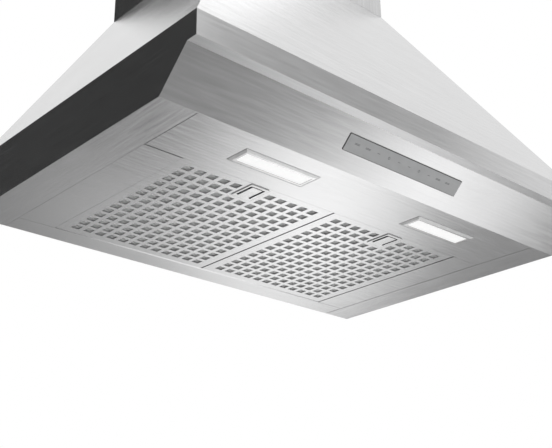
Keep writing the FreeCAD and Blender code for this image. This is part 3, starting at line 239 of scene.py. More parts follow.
def brushed_steel(name, axis, roughness):
    """Stainless sheet brushed along one axis: fine grooves, broader streaks and faint handling marks."""
    steel = bpy.context.scene.hood_steel
    finish = Finish(name, metallic=1.0)
    hairline = finish.noise(along(axis, 6, 2600))
    streak = finish.noise(along(axis, 14, 260), 4.0)
    cloud = finish.noise(even(7), 3.0)
    lines = streak * 0.7 + hairline * 0.3
    finish.shade(
        base_color=finish.mottled(lines, steel.colour, 1 - steel.streak, 1 + steel.streak),
        roughness=finish.around(streak, roughness, 0.03) + finish.around(cloud, 0.0, 0.015),
    )
    finish.relief(hairline, steel.groove_depth)
    return finish.material


def satin_steel(name, colour, roughness):
    """Small stainless pressings: a fine even grain with a few rubbed spots."""
    finish = Finish(name, metallic=1.0)
    grain = finish.noise(even(1600), 3.0)
    rubbed = finish.noise(even(60), 4.0)
    finish.shade(
        base_color=finish.mottled(grain, colour, 0.94, 1.05),
        roughness=finish.around(rubbed, roughness, 0.05),
    )
    finish.relief(grain, 3 * MICROMETRE)
    return finish.material


def zinc_sheet(name, colour):
    """Galvanised sheet: zinc crystals a centimetre across, each with its own grey and gloss."""
    finish = Finish(name, metallic=1.0)
    crystal = finish.cells(even(95), "Color")
    ridge = finish.cells(even(95))
    dull = finish.noise(even(14), 5.0)
    finish.shade(
        base_color=finish.tint(crystal, scaled(colour, 0.8), scaled(colour, 1.12)),
        roughness=finish.spread(dull, 0.34, 0.5) + finish.around(ridge, 0.0, 0.04),
    )
    finish.relief(ridge, 50 * MICROMETRE)
    return finish.material


def moulded_plastic(name, colour, roughness):
    """Moulded plastic: a fine spark-eroded grain and slight flow marks."""
    finish = Finish(name)
    grain = finish.noise(even(2200))
    flow = finish.noise((25, 25, 60), 4.0)
    finish.shade(
        base_color=finish.mottled(flow, colour, 0.88, 1.12),
        roughness=finish.around(grain, roughness, 0.06),
    )
    finish.relief(grain, PLASTIC_GRAIN)
    return finish.material


def enamel(name, colour):
    """Stoved enamel on the motor: a slight orange peel under a glossy film."""
    finish = Finish(name, coat_weight=0.4, coat_roughness=0.12)
    peel = finish.noise(even(420))
    dust = finish.noise(even(70), 6.0)
    finish.shade(
        base_color=finish.mottled(dust, colour, 1.0, 1.5),
        roughness=finish.spread(dust, 0.3, 0.48),
    )
    finish.relief(peel, 60 * MICROMETRE)
    return finish.material


def touch_glass(name, colour):
    """Grey touch surface of the controls: smooth, with a faint satin cloud."""
    finish = Finish(name, ior=1.45)
    cloud = finish.noise((35, 90, 90), 4.0)
    grain = finish.noise(even(1900))
    finish.shade(
        base_color=finish.mottled(cloud, colour, 0.95, 1.05),
        roughness=finish.spread(grain, 0.3, 0.4),
    )
    finish.relief(grain, 6 * MICROMETRE)
    return finish.material


def lit_lens(name, colour):
    """Frosted lens of a lit lamp: a lattice of small prisms that glow a little unevenly."""
    finish = Finish(name, emission_strength=1.0, roughness=0.35)
    prism = finish.cells(even(320))
    glow = finish.spread(prism, 1.0, 0.0)
    finish.shade(
        base_color=finish.tint(glow, scaled(colour, 0.42), scaled(colour, 0.45)),
        emission_color=finish.tint(glow, scaled(colour, 0.62), scaled(colour, 0.66)),
    )
    finish.relief(prism, 40 * MICROMETRE)
    return finish.material


def circuit_board(name):
    """White solder mask over copper tracks, with a speckle of tinned pads."""
    finish = Finish(name, roughness=0.4)
    track = finish.node(
        "TexWave", {"wave_type": "BANDS", "bands_direction": "Y"},
        {"Vector": finish.stretched(even(1)), "Scale": 45.0, "Distortion": 1.5, "Detail": 1.0},
    )
    pad = finish.cells(even(260))
    tinned = {"From Min": 0.1, "From Max": 0.14, "To Min": 0.8, "To Max": 0.0}
    finish.shade(
        base_color=finish.tint(finish.spread(track, 0.0, 1.0), (0.78, 0.78, 0.76), (0.66, 0.68, 0.64)),
        metallic=finish.node("MapRange", None, {"Value": pad, **tinned}),
    )
    finish.relief(track, 40 * MICROMETRE)
    return finish.material


def drawn_aluminium(name, colour, axis, roughness, metallic):
    """Rolled or expanded aluminium: soft draw lines along the strand and a dull oxide bloom."""
    finish = Finish(name, metallic=metallic)
    line = finish.noise(along(axis, 30, 900), 3.0)
    bloom = finish.noise(even(45), 4.0)
    finish.shade(
        base_color=finish.mottled(bloom, colour, 0.85, 1.1),
        roughness=finish.around(line, roughness, 0.06),
    )
    finish.relief(line, 20 * MICROMETRE)
    return finish.material


def printed_ink(name, colour):
    """Screen-printed ink of the touch marks, slightly patchy."""
    finish = Finish(name)
    patch = finish.noise(even(900), 3.0)
    finish.shade(
        base_color=finish.mottled(patch, colour, 0.9, 1.1),
        roughness=finish.spread(patch, 0.45, 0.6),
    )
    return finish.material


def paint(node, material):
    """Give a CAD node that keeps its shape a finish of its own."""
    mesh = NODES[node].data
    mesh.materials.clear()
    mesh.materials.append(material)


def new_piece(name, mesh, node, material):
    """Turn a bmesh into an object that rides with a CAD node's body."""
    data = bpy.data.meshes.new(name)
    mesh.to_mesh(data)
    mesh.free()
    data.materials.append(material)
    piece = bpy.data.objects.new(name, data)
    bpy.context.scene.collection.objects.link(piece)
    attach(piece, BODY_OF[node])
    return piece


def merged_copy(node):
    """A bmesh of a CAD node with its loose triangles joined and its flat faces whole."""
    mesh = bmesh.new()
    mesh.from_mesh(NODES[node].data)
    bmesh.ops.remove_doubles(mesh, verts=mesh.verts, dist=MERGE_DISTANCE)
    bmesh.ops.dissolve_limit(mesh, angle_limit=FLAT_ANGLE, verts=mesh.verts, edges=mesh.edges)
    for face in mesh.faces:
        face.smooth = True
    return mesh


def round_edges(piece, radius, sharpest=SHARP_ANGLE):
    """Round the edges of a piece that turn more than an angle, with a live bevel."""
    bevel = piece.modifiers.new("edge round", "BEVEL")
    bevel.width = radius
    bevel.segments = BEVEL_SEGMENTS
    bevel.limit_method = "ANGLE"
    bevel.angle_limit = sharpest
    piece.modifiers.new("even shading", "WEIGHTED_NORMAL")


def rounded(node, material, radius, sharpest=SHARP_ANGLE):
    """Stand a copy with rounded edges in the place of a CAD node."""
    piece = new_piece(node + "_shaped", merged_copy(node), node, material)
    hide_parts(node)
    round_edges(piece, radius, sharpest)
    return piece


def second_finish(piece, material, chosen):
    """Give the chosen faces of a piece a second material."""
    piece.data.materials.append(material)
    for face in piece.data.polygons:
        if chosen(face):
            face.material_index = 1


class HOOD_PG_steel(bpy.types.PropertyGroup):
    """Finish of the stainless sheets"""

    colour: FloatVectorProperty(
        name="Steel colour", description="Colour of the brushed stainless sheets",
        subtype="COLOR", min=0.0, max=1.0, default=(0.6, 0.6, 0.603),
    )
    roughness: FloatProperty(
        name="Roughness", description="Gloss of the sheets between their brush lines",
        subtype="FACTOR", min=0.05, max=0.9, default=0.22,
    )
    streak: FloatProperty(
        name="Streak contrast", description="How much lighter or darker a brush streak is than the sheet",
        subtype="FACTOR", min=0.0, max=0.5, default=0.09,
    )
    lip_roughness: FloatProperty(
        name="Lip roughness", description="Gloss of the level lip under the front rim",
        subtype="FACTOR", min=0.05, max=0.9, default=0.38,
    )
    groove_depth: FloatProperty(
        name="Groove depth", description="Depth of the brush lines",
        unit="LENGTH", min=0.0, max=0.001, precision=7, default=1.5 * MICROMETRE,
    )
    edge_round: FloatProperty(
        name="Edge round", description="Radius on the cut and folded edges of the sheets",
        unit="LENGTH", min=0.0, max=0.002, precision=5, default=0.4 * MILLIMETRE,
    )
    seam_round: FloatProperty(
        name="Seam round", description="Radius on the edges of the flush sheets under the canopy",
        unit="LENGTH", min=0.0, max=0.002, precision=5, default=0.03 * MILLIMETRE,
    )
    slant: FloatProperty(
        name="Slant", description="How far the rear strip's cut edge leans back behind the filters",
        unit="LENGTH", min=0.0, max=0.004, precision=5, default=2.0 * MILLIMETRE,
    )
    small_round: FloatProperty(
        name="Small edge round", description="Radius on the edges of trim, latches and moulded pieces",
        unit="LENGTH", min=0.0, max=0.002, precision=5, default=0.25 * MILLIMETRE,
    )


class HOOD_PG_filter(bpy.types.PropertyGroup):
    """Expanded aluminium mesh in the grease filters"""

    colour: FloatVectorProperty(
        name="Mesh colour", description="Colour of the aluminium strands",
        subtype="COLOR", min=0.0, max=1.0, default=(0.92, 0.92, 0.92),
    )
    diamond_length: FloatProperty(
        name="Diamond length", description="Long way of one mesh opening",
        unit="LENGTH", min=0.004, max=0.03, default=10 * MILLIMETRE,
    )
    diamond_width: FloatProperty(
        name="Diamond width", description="Short way of one mesh opening",
        unit="LENGTH", min=0.003, max=0.02, default=6 * MILLIMETRE,
    )
    strand: FloatProperty(
        name="Strand", description="Width of one mesh strand",
        unit="LENGTH", min=0.0002, max=0.002, precision=5, default=0.9 * MILLIMETRE,
    )
    layer_step: FloatProperty(
        name="Layer step", description="Distance between two layers of mesh",
        unit="LENGTH", min=0.0005, max=0.004, precision=5, default=1.6 * MILLIMETRE,
    )
    layers: IntProperty(
        name="Layers", description="Number of mesh layers in front of the backing", min=1, max=4, default=2,
    )


class HOOD_PG_controls(bpy.types.PropertyGroup):
    """Touch strip on the sloping fascia"""

    colour: FloatVectorProperty(
        name="Strip colour", description="Colour of the touch surface",
        subtype="COLOR", min=0.0, max=1.0, default=(0.5, 0.505, 0.51),
    )
    ink: FloatVectorProperty(
        name="Mark colour", description="Colour of the printed touch marks",
        subtype="COLOR", min=0.0, max=1.0, default=(0.17, 0.175, 0.18),
    )
    marks: IntProperty(name="Marks", description="Number of touch marks", min=1, max=20, default=10)
    mark_span: FloatProperty(
        name="Mark span", description="Distance from the first touch mark to the last",
        unit="LENGTH", min=0.02, max=0.2, default=180 * MILLIMETRE,
    )
    mark_size: FloatProperty(
        name="Mark size", description="Width of one touch mark",
        unit="LENGTH", min=0.001, max=0.012, default=9 * MILLIMETRE,
    )
    mark_shift: FloatProperty(
        name="Mark shift", description="Row of touch marks to the left of the strip's middle",
        unit="LENGTH", min=-0.02, max=0.02, precision=5, default=3.5 * MILLIMETRE,
    )
    mark_raise: FloatProperty(
        name="Mark raise", description="Row of touch marks above the strip's middle line",
        unit="LENGTH", min=-0.008, max=0.008, precision=5, default=1.2 * MILLIMETRE,
    )
    mark_line: FloatProperty(
        name="Mark line", description="Width of a printed line",
        unit="LENGTH", min=0.0002, max=0.002, precision=5, default=0.7 * MILLIMETRE,
    )
    # Painted shade: the width of the dark line painted along the strip's upper edge.
    painted_shade_line: FloatProperty(
        name="Painted shade line", description="Width of the dark line along the strip's upper edge",
        unit="LENGTH", min=0.0002, max=0.003, precision=5, default=1.1 * MILLIMETRE,
    )
    mark_rise: FloatProperty(
        name="Mark rise", description="Thickness of the ink on the strip",
        unit="LENGTH", min=0.00001, max=0.0005, precision=5, default=0.06 * MILLIMETRE,
    )


class HOOD_PG_stage(bpy.types.PropertyGroup):
    """Camera, floor and studio light"""

    camera_place: FloatVectorProperty(
        name="Camera place", description="Where the camera stands: low, to the left and in front",
        subtype="TRANSLATION", default=(-0.94122, -1.24314, -0.75056),
    )
    camera_turn: FloatVectorProperty(
        name="Camera turn", description="How the camera is turned",
        subtype="EULER", default=tuple(math.radians(turn) for turn in (112.378, 0.602, -42.378)),
    )
    camera_lens: FloatProperty(
        name="Camera lens", description="Focal length on a 36 mm sensor",
        min=20.0, max=200.0, default=65.43,
    )
    floor_level: FloatProperty(
        name="Floor level", description="Height of the floor under the hood's wall holes",
        unit="LENGTH", min=-4.0, max=-0.5, default=-1.8,
    )
    floor_colour: FloatVectorProperty(
        name="Floor colour", description="Colour of the pale floor",
        subtype="COLOR", min=0.0, max=1.0, default=(0.4, 0.4, 0.4),
    )
    ambient: FloatProperty(
        name="Ambient", description="Strength of the even light from all round",
        min=0.0, max=2.0, default=0.65,
    )


def add_rolled_edge(mesh, start, length):
    """A low wedge across the end of a filler, in line with the slanted edge of the rear strip."""
    slant = bpy.context.scene.hood_steel.slant
    middle = start + Vector((length, slant, 0)) / 2
    block = Matrix.Translation(middle) @ Matrix.Diagonal((length, slant, slant / 2, 1))
    for vertex in bmesh.ops.create_cube(mesh, size=1.0, matrix=block)["verts"]:
        if vertex.co.z < middle.z and vertex.co.y < middle.y:
            vertex.co.y += slant / 2


def slanted_surround(material):
    """The filter surround, with the cut edge of its rear strip slanted so that it catches the light."""
    steel = bpy.context.scene.hood_steel
    node = "filter_surround"
    mesh = merged_copy(node)
    low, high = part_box(node)
    corners = [
        vertex for vertex in mesh.verts
        if low.y / 2 < vertex.co.y < -steel.slant and vertex.co.z - low.z < MERGE_DISTANCE
    ]
    left, right = [pick(vertex.co.x for vertex in corners) for pick in (min, max)]
    front = min(vertex.co.y for vertex in corners)
    for vertex in corners:
        vertex.co.y += steel.slant
    for start, end in ((low.x, left), (right, high.x)):
        add_rolled_edge(mesh, Vector((start, front, low.z)), end - start)
    piece = new_piece(node + "_shaped", mesh, node, material)
    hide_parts(node)
    round_edges(piece, steel.seam_round)


class HOOD_OT_sheets(bpy.types.Operator):
    """Brush the outer sheets and round their folded edges"""

    bl_idname = "hood.sheets"
    bl_label = "Outer sheets"

    def execute(self, context):
        steel = context.scene.hood_steel
        across = brushed_steel("steel brushed across", "X", steel.roughness)
        deep = brushed_steel("steel brushed front to back", "Y", steel.roughness)
        upright = brushed_steel("steel brushed upright", "Z", steel.roughness)
        front = rounded("canopy_front", across, steel.seam_round)
        lip = brushed_steel("steel lip", "X", steel.lip_roughness)
        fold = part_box("canopy_front")[0].z

        def on_lip(face):
            return face.normal.z < -LEVEL and face.center.z > fold + FOLD_MARGIN

        second_finish(front, lip, on_lip)
        for side in SIDES:
            rounded("canopy_side_" + side, deep, steel.seam_round)
            rounded("filter_cover_" + side, across, steel.seam_round)
        for node in ("chimney_lower", "chimney_upper"):
            rounded(node, upright, steel.edge_round)
        rounded("light_panel", across, steel.seam_round)
        slanted_surround(across)
        zinc = zinc_sheet("galvanised sheet", (0.58, 0.6, 0.62))
        for node in ("canopy_back", "canopy_top", "chimney_bracket", "motor_bracket"):
            rounded(node, zinc, steel.small_round)
        return {"FINISHED"}


def strand_layer(name, node, level, shift, material):
    """One layer of expanded mesh: a sheet of diamonds, cut to the filter's outline, drawn as strands."""
    settings = bpy.context.scene.hood_filter
    low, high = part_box(node)
    middle = (low + high) / 2
    length, width = settings.diamond_length, settings.diamond_width
    count = math.ceil((high.x - low.x) / length + (high.y - low.y) / width) + 2
    half_side = count / math.sqrt(8)
    mesh = bmesh.new()
    bmesh.ops.create_grid(mesh, x_segments=count, y_segments=count, size=half_side)
    quarter = Matrix.Rotation(math.pi / 4, 3, "Z")
    bmesh.ops.rotate(mesh, cent=(0, 0, 0), matrix=quarter, verts=mesh.verts)
    bmesh.ops.scale(mesh, vec=(length, width, 1), verts=mesh.verts)
    bmesh.ops.translate(mesh, vec=(middle.x + shift * length, middle.y, level), verts=mesh.verts)
    edge = settings.strand
    cuts = (
        ((low.x + edge, 0, 0), (-1, 0, 0)),
        ((high.x - edge, 0, 0), (1, 0, 0)),
        ((0, low.y + edge, 0), (0, -1, 0)),
        ((0, high.y - edge, 0), (0, 1, 0)),
    )
    for point, direction in cuts:
        geometry = mesh.verts[:] + mesh.edges[:] + mesh.faces[:]
        bmesh.ops.bisect_plane(mesh, geom=geometry, plane_co=point, plane_no=direction, clear_outer=True)
    clear_latch_bay(mesh, node)
    piece = new_piece(name, mesh, node, material)
    strands = piece.modifiers.new("strands", "WIREFRAME")
    strands.thickness = settings.strand
    strands.use_even_offset = True


def clear_latch_bay(mesh, node):
    """Take out the diamonds that would lie in the space of the filter's latch."""
    side = node.rsplit("_", 1)[1]
    boxes = [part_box("latch_plate_" + side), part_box("latch_tab_" + side)]
    margin = bpy.context.scene.hood_filter.strand * 2
    low = [min(box[0][axis] for box in boxes) - margin for axis in range(2)]
    high = [max(box[1][axis] for box in boxes) + margin for axis in range(2)]

    def in_bay(vertex):
        return all(low[axis] < vertex.co[axis] < high[axis] for axis in range(2))

    doomed = [face for face in mesh.faces if any(in_bay(vertex) for vertex in face.verts)]
    bmesh.ops.delete(mesh, geom=doomed, context="FACES")


def raised_backing(node, name, rise, material):
    """The filter's pack with its lower face raised behind the layers of mesh."""
    low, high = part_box(node)
    backing = merged_copy(node)
    for vertex in backing.verts:
        if vertex.co.z < (low.z + high.z) / 2:
            vertex.co.z += rise
    piece = new_piece(name, backing, node, material)
    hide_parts(node)


def shape_latch(plate, tab, side, slider_and_shade):
    """Give the latch's window dark plastic, with an open gap at the right of its finger sheet. On the tab's
    upper faces it is the sliding part and partly painted shade, and on the walls of the plate's window it
    is painted shade.
    """
    low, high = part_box("latch_tab_" + side)
    middle = (low + high) / 2
    top = low.z + FINGER_SHEET

    def painted_shade_walls(face):
        return (middle - face.center).dot(face.normal) > 0 and abs(face.normal.z) < STEEP

    # Painted shade: the walls of the plate's window take the dark plastic, so that the window looks shaded.
    second_finish(plate, slider_and_shade, painted_shade_walls)
    # The tab's upper faces take the dark plastic of the sliding part, which also paints shade in the gap
    # beside the finger sheet.
    second_finish(tab, slider_and_shade, lambda face: face.center.z > top)
    sheet = [vertex for vertex in tab.data.vertices if vertex.co.z < top]
    edge = max(vertex.co.x for vertex in sheet) - FINGER_GAP
    for vertex in sheet:
        vertex.co.x = min(vertex.co.x, edge)


class HOOD_OT_filters(bpy.types.Operator):
    """Lay the expanded mesh in both grease filters and finish their frames and latches"""

    bl_idname = "hood.filters"
    bl_label = "Grease filters"

    def execute(self, context):
        settings = context.scene.hood_filter
        steel = context.scene.hood_steel
        strand = drawn_aluminium("expanded aluminium", settings.colour, "X", 0.55, 0.15)
        frame_finish = drawn_aluminium("rolled aluminium", (0.68, 0.68, 0.69), "Y", 0.32, 1.0)
        latch = satin_steel("latch steel", (0.62, 0.62, 0.62), 0.22)
        # Dark plastic of the latch's sliding part, also used as painted shade on the walls of the latch
        # window.
        slider_and_shade = moulded_plastic("latch slider", (0.03, 0.03, 0.032), 0.5)
        for side in SIDES:
            node = "filter_mesh_" + side
            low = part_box(node)[0]
            for layer in range(settings.layers):
                level = low.z + settings.strand + layer * settings.layer_step
                strand_layer("strands_%s_%d" % (side, layer + 1), node, level, layer / 2, strand)
            rise = settings.strand + settings.layers * settings.layer_step
            raised_backing(node, "backing_" + side, rise, strand)
            rounded("filter_frame_" + side, frame_finish, steel.small_round)
            plate = rounded("latch_plate_" + side, latch, steel.seam_round)
            tab = rounded("latch_tab_" + side, latch, steel.seam_round)
            shape_latch(plate, tab, side, slider_and_shade)
        return {"FINISHED"}


def lengthen_slope(piece):
    """Let the slope round a bezel run closer to the panel, which leaves a lower outer wall."""
    lowest = min(vertex.co.z for vertex in piece.data.vertices)
    for vertex in piece.data.vertices:
        rise = vertex.co.z - lowest
        if rise < BEZEL_SLOPE:
            vertex.co.z = lowest + rise * SLOPE_STRETCH


class HOOD_OT_lights(bpy.types.Operator):
    """Finish the two lamps: bezels, lit lenses and light boards"""

    bl_idname = "hood.lights"
    bl_label = "Lamps"

    def execute(self, context):
        steel = context.scene.hood_steel
        bezel = satin_steel("bezel steel", (0.64, 0.64, 0.64), 0.2)
        lens = lit_lens("lit lens", (1.0, 1.0, 0.995))
        board = circuit_board("light board")
        for side in SIDES:
            lengthen_slope(rounded("light_bezel_" + side, bezel, steel.edge_round, SLOPE_ANGLE))
            rounded("light_lens_" + side, lens, steel.small_round)
            paint("light_board_" + side, board)
        return {"FINISHED"}


def strip_face():
    """The frame of the control strip's outer face: along the hood, up the slope, and outwards."""
    mesh = NODES["control_strip"].data
    outer = max(mesh.polygons, key=lambda face: -face.area * (face.normal.y + face.normal.z))
    outward = outer.normal.copy()
    low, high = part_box("control_strip")
    middle = (low + high) / 2
    level = max(vertex.co.dot(outward) for vertex in mesh.vertices)
    middle += outward * (level - middle.dot(outward))
    sideways = Vector((1, 0, 0))
    upward = outward.cross(sideways)
    turn = Matrix((sideways, upward, outward)).transposed().to_4x4()
    return Matrix.Translation(middle) @ turn


def add_bar(mesh, place, width, height, rise):
    """A flat bar, for a printed mark or a painted shade line: a thin block with its lower half sunk in the
    strip's face.
    """
    block = place @ Matrix.Diagonal((width, height, rise * 2, 1))
    bmesh.ops.create_cube(mesh, size=1.0, matrix=block)


def add_ring(mesh, place, radius, line, rise):
    """A printed ring: a small flat section spun round the mark's middle."""
    made = bmesh.ops.create_circle(mesh, segments=4, radius=line / math.sqrt(2))
    section = made["verts"]
    stand = Matrix.Rotation(math.pi / 2, 4, "X") @ Matrix.Rotation(math.pi / 4, 4, "Z")
    flatten = Matrix.Diagonal((1, 1, 2 * rise / line, 1))
    bmesh.ops.transform(mesh, matrix=Matrix.Translation((radius, 0, 0)) @ flatten @ stand, verts=section)
    edges = list({edge for vertex in section for edge in vertex.link_edges})
    start = set(mesh.verts) - set(section)
    bmesh.ops.spin(
        mesh, geom=section + edges, cent=(0, 0, 0), axis=(0, 0, 1),
        angle=math.tau, steps=RING_STEPS, use_merge=True,
    )
    ring = [vertex for vertex in mesh.verts if vertex not in start]
    bmesh.ops.transform(mesh, matrix=place, verts=ring)


def add_touch_marks(context, face, ink):
    """A row of plain touch marks: broad pairs of dashes at the ends, and small rings and dashes between."""
    settings = context.scene.hood_controls
    size, line, rise = settings.mark_size, settings.mark_line, settings.mark_rise
    step = settings.mark_span / (settings.marks - 1)
    mesh = bmesh.new()
    for index in range(settings.marks):
        across = step * index - settings.mark_span / 2 - settings.mark_shift
        place = face @ Matrix.Translation((across, settings.mark_raise, 0))
        from_end = min(index, settings.marks - 1 - index)
        if from_end < 2:
            for bar in (-1, 1):
                add_bar(mesh, place @ Matrix.Translation((0, bar * line, 0)), size, line, rise)
        elif from_end % 2:
            add_ring(mesh, place, size / 6, line, rise)
        else:
            add_bar(mesh, place, size / 2, line, rise)
    bmesh.ops.recalc_face_normals(mesh, faces=mesh.faces)
    return new_piece("touch_marks", mesh, "control_strip", ink)


def add_painted_edge_shade(context, face, material):
    """Painted shade: dark lines along the touch surface's long edges in place of the shade that falls
    there, the upper one broader.
    """
    settings = context.scene.hood_controls
    spots = [face.inverted() @ vertex.co for vertex in NODES["control_strip"].data.vertices]
    half_length, half_height = [max(spot[axis] for spot in spots) for axis in range(2)]
    inset = context.scene.hood_steel.small_round
    mesh = bmesh.new()
    for side, line in ((1, settings.painted_shade_line), (-1, settings.painted_shade_line / 2)):
        level = side * (half_height - inset - line / 2)
        bar = face @ Matrix.Translation((0, level, 0))
        add_bar(mesh, bar, 2 * (half_length - inset), line, settings.mark_rise)
    return new_piece("strip_painted_edge_shade", mesh, "control_strip", material)


class HOOD_OT_controls(bpy.types.Operator):
    """Finish the control strip with painted shade on its edges, print its touch marks and finish the module
    behind it
    """

    bl_idname = "hood.controls"
    bl_label = "Controls"

    def execute(self, context):
        settings = context.scene.hood_controls
        steel = context.scene.hood_steel
        strip = rounded("control_strip", touch_glass("touch surface", settings.colour), steel.small_round)
        # Dark plastic as painted shade: on the strip's side faces and in the lines along its long edges.
        edge = moulded_plastic("strip painted edge shade", (0.12, 0.12, 0.12), 0.5)
        place = strip_face()
        second_finish(strip, edge, lambda face: face.normal.dot(place.col[2].xyz) < STEEP)
        marks = add_touch_marks(context, place, printed_ink("mark ink", settings.ink))
        painted_shade_line = add_painted_edge_shade(context, place, edge)
        for piece in (strip, marks, painted_shade_line):
            piece.visible_glossy = False
        black = moulded_plastic("module plastic", (0.035, 0.035, 0.037), 0.5)
        rounded("control_module", black, steel.edge_round)
        return {"FINISHED"}


def islands(mesh):
    """The separate solids in a bmesh, each as a list of its vertices."""
    left = set(mesh.verts)
    while left:
        found = [left.pop()]
        for vertex in found:
            beside = {edge.other_vert(vertex) for edge in vertex.link_edges} & left
            left -= beside
            found.extend(beside)
        yield found


def add_screw(mesh, top, head_radius, head_height, shank_radius, length):
    """A pan head screw with a cross recess, pointing down from the middle of its head's top."""
    made = bmesh.ops.create_grid(mesh, x_segments=HEAD_SQUARES, y_segments=HEAD_SQUARES, size=1.0)
    cap = made["verts"]
    faces = list({face for vertex in cap for face in vertex.link_faces})
    half_square = 1 / HEAD_SQUARES + 0.01
    middle = [face.calc_center_median() for face in faces]
    cross = [
        face for face, at in zip(faces, middle)
        if min(abs(at.x), abs(at.y)) < half_square and max(abs(at.x), abs(at.y)) < 4 * half_square
    ]
    for vertex in cap:
        x, y = vertex.co.x, vertex.co.y
        round_x, round_y = x * math.sqrt(1 - y * y / 2), y * math.sqrt(1 - x * x / 2)
        dome = (round_x ** 2 + round_y ** 2) * head_height * HEAD_DOME
        vertex.co = (round_x * head_radius, round_y * head_radius, -dome)
    rim = [edge for edge in {edge for vertex in cap for edge in vertex.link_edges} if edge.is_boundary]
    pressed = bmesh.ops.extrude_face_region(mesh, geom=cross)["geom"]
    bmesh.ops.delete(mesh, geom=cross, context="FACES_ONLY")
    sunk = [part for part in pressed if isinstance(part, bmesh.types.BMVert)]
    bmesh.ops.translate(mesh, vec=(0, 0, -head_height * RECESS_DEPTH), verts=sunk)
    everything = cap + sunk
    steps = ((head_radius, -head_height), (shank_radius, -head_height), (shank_radius, -length))
    for radius, level in steps:
        made = bmesh.ops.extrude_edge_only(mesh, edges=rim)["geom"]
        ring = [part for part in made if isinstance(part, bmesh.types.BMVert)]
        rim = [part for part in made if isinstance(part, bmesh.types.BMEdge)]
        for vertex in ring:
            flat = Vector((vertex.co.x, vertex.co.y, 0)).normalized() * radius
            vertex.co = (flat.x, flat.y, level)
        everything += ring
    bmesh.ops.contextual_create(mesh, geom=rim)
    bmesh.ops.translate(mesh, vec=top, verts=everything)


def cross_screws(node, material):
    """Screws with cross recesses in the place of a group of plain ones."""
    plain = merged_copy(node)
    mesh = bmesh.new()
    for solid in islands(plain):
        spots = [vertex.co for vertex in solid]
        low = Vector([min(spot[axis] for spot in spots) for axis in range(3)])
        high = Vector([max(spot[axis] for spot in spots) for axis in range(3)])
        middle = (low + high) / 2
        head_radius = (high.x - low.x) / 2
        reach = {spot.z: 0.0 for spot in spots}
        for spot in spots:
            reach[spot.z] = max(reach[spot.z], math.hypot(spot.x - middle.x, spot.y - middle.y))
        shank_radius = min(radius for level, radius in reach.items() if level < middle.z)
        head_bottom = min(level for level, radius in reach.items() if radius > head_radius * 0.9)
        top = Vector((middle.x, middle.y, high.z))
        add_screw(mesh, top, head_radius, high.z - head_bottom, shank_radius, high.z - low.z)
    plain.free()
    bmesh.ops.recalc_face_normals(mesh, faces=mesh.faces)
    piece = new_piece(node + "_shaped", mesh, node, material)
    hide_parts(node)


class HOOD_OT_blower(bpy.types.Operator):
    """Finish the blower: scroll, inlet rings, impeller, motor and screws"""

    bl_idname = "hood.blower"
    bl_label = "Blower"

    def execute(self, context):
        zinc = bpy.data.materials["galvanised sheet"]
        bright = satin_steel("plated steel", (0.62, 0.62, 0.6), 0.3)
        plated = satin_steel("screw steel", (0.6, 0.61, 0.63), 0.28)
        for node in NODES:
            if node.startswith(("scroll_wrap", "scroll_cheek", "inlet_ring")):
                paint(node, zinc)
            if node.startswith("impeller_"):
                paint(node, bright)
        paint("motor", enamel("motor enamel", (0.03, 0.032, 0.035)))
        paint("motor_shaft", plated)
        cross_screws("collar_screws", plated)
        cross_screws("scroll_screws", plated)
        return {"FINISHED"}


class HOOD_OT_outlet(bpy.types.Operator):
    """Finish the duct collar, its flaps, the cable gland and the electronics box"""

    bl_idname = "hood.outlet"
    bl_label = "Outlet and electrics"

    def execute(self, context):
        steel = context.scene.hood_steel
        black = moulded_plastic("black plastic", (0.03, 0.03, 0.032), 0.48)
        grey = moulded_plastic("grey plastic", (0.36, 0.37, 0.38), 0.5)
        for node in ("duct_collar", "damper_flap_left", "damper_flap_right", "cable_gland"):
            paint(node, black)
        for node in ("electronics_box", "electronics_lid"):
            rounded(node, grey, steel.edge_round)
        return {"FINISHED"}


def towards(place, aim, axis):
    """The place of an object whose own axis points at an aim."""
    turn = (Vector(aim) - Vector(place)).to_track_quat(axis, "Y")
    return Matrix.Translation(place) @ turn.to_matrix().to_4x4()


def add_lamp(name, place, width, length, power):
    """A soft rectangular lamp that the camera doesn't see. Its length lies along its own Y axis."""
    data = bpy.data.lights.new(name, "AREA")
    data.shape = "RECTANGLE"
    data.size = width
    data.size_y = length
    data.energy = power
    lamp = bpy.data.objects.new(name, data)
    lamp.matrix_world = place
    lamp.visible_camera = False
    bpy.context.scene.collection.objects.link(lamp)
    return lamp


def add_sheet(name, place, half_size, finish):
    """A flat square of the stage."""
    mesh = bmesh.new()
    bmesh.ops.create_grid(mesh, x_segments=1, y_segments=1, size=half_size, matrix=place)
    data = bpy.data.meshes.new(name)
    mesh.to_mesh(data)
    mesh.free()
    data.materials.append(finish.material)
    made = bpy.data.objects.new(name, data)
    bpy.context.scene.collection.objects.link(made)
    return made


def add_card(name, place, half_size, colour):
    """A studio card that shows in metal but not to the camera, and takes no light away."""
    card = add_sheet(name, place, half_size, Finish(name, base_color=colour, roughness=0.9))
    card.visible_camera = False
    card.visible_diffuse = False
    card.visible_shadow = False


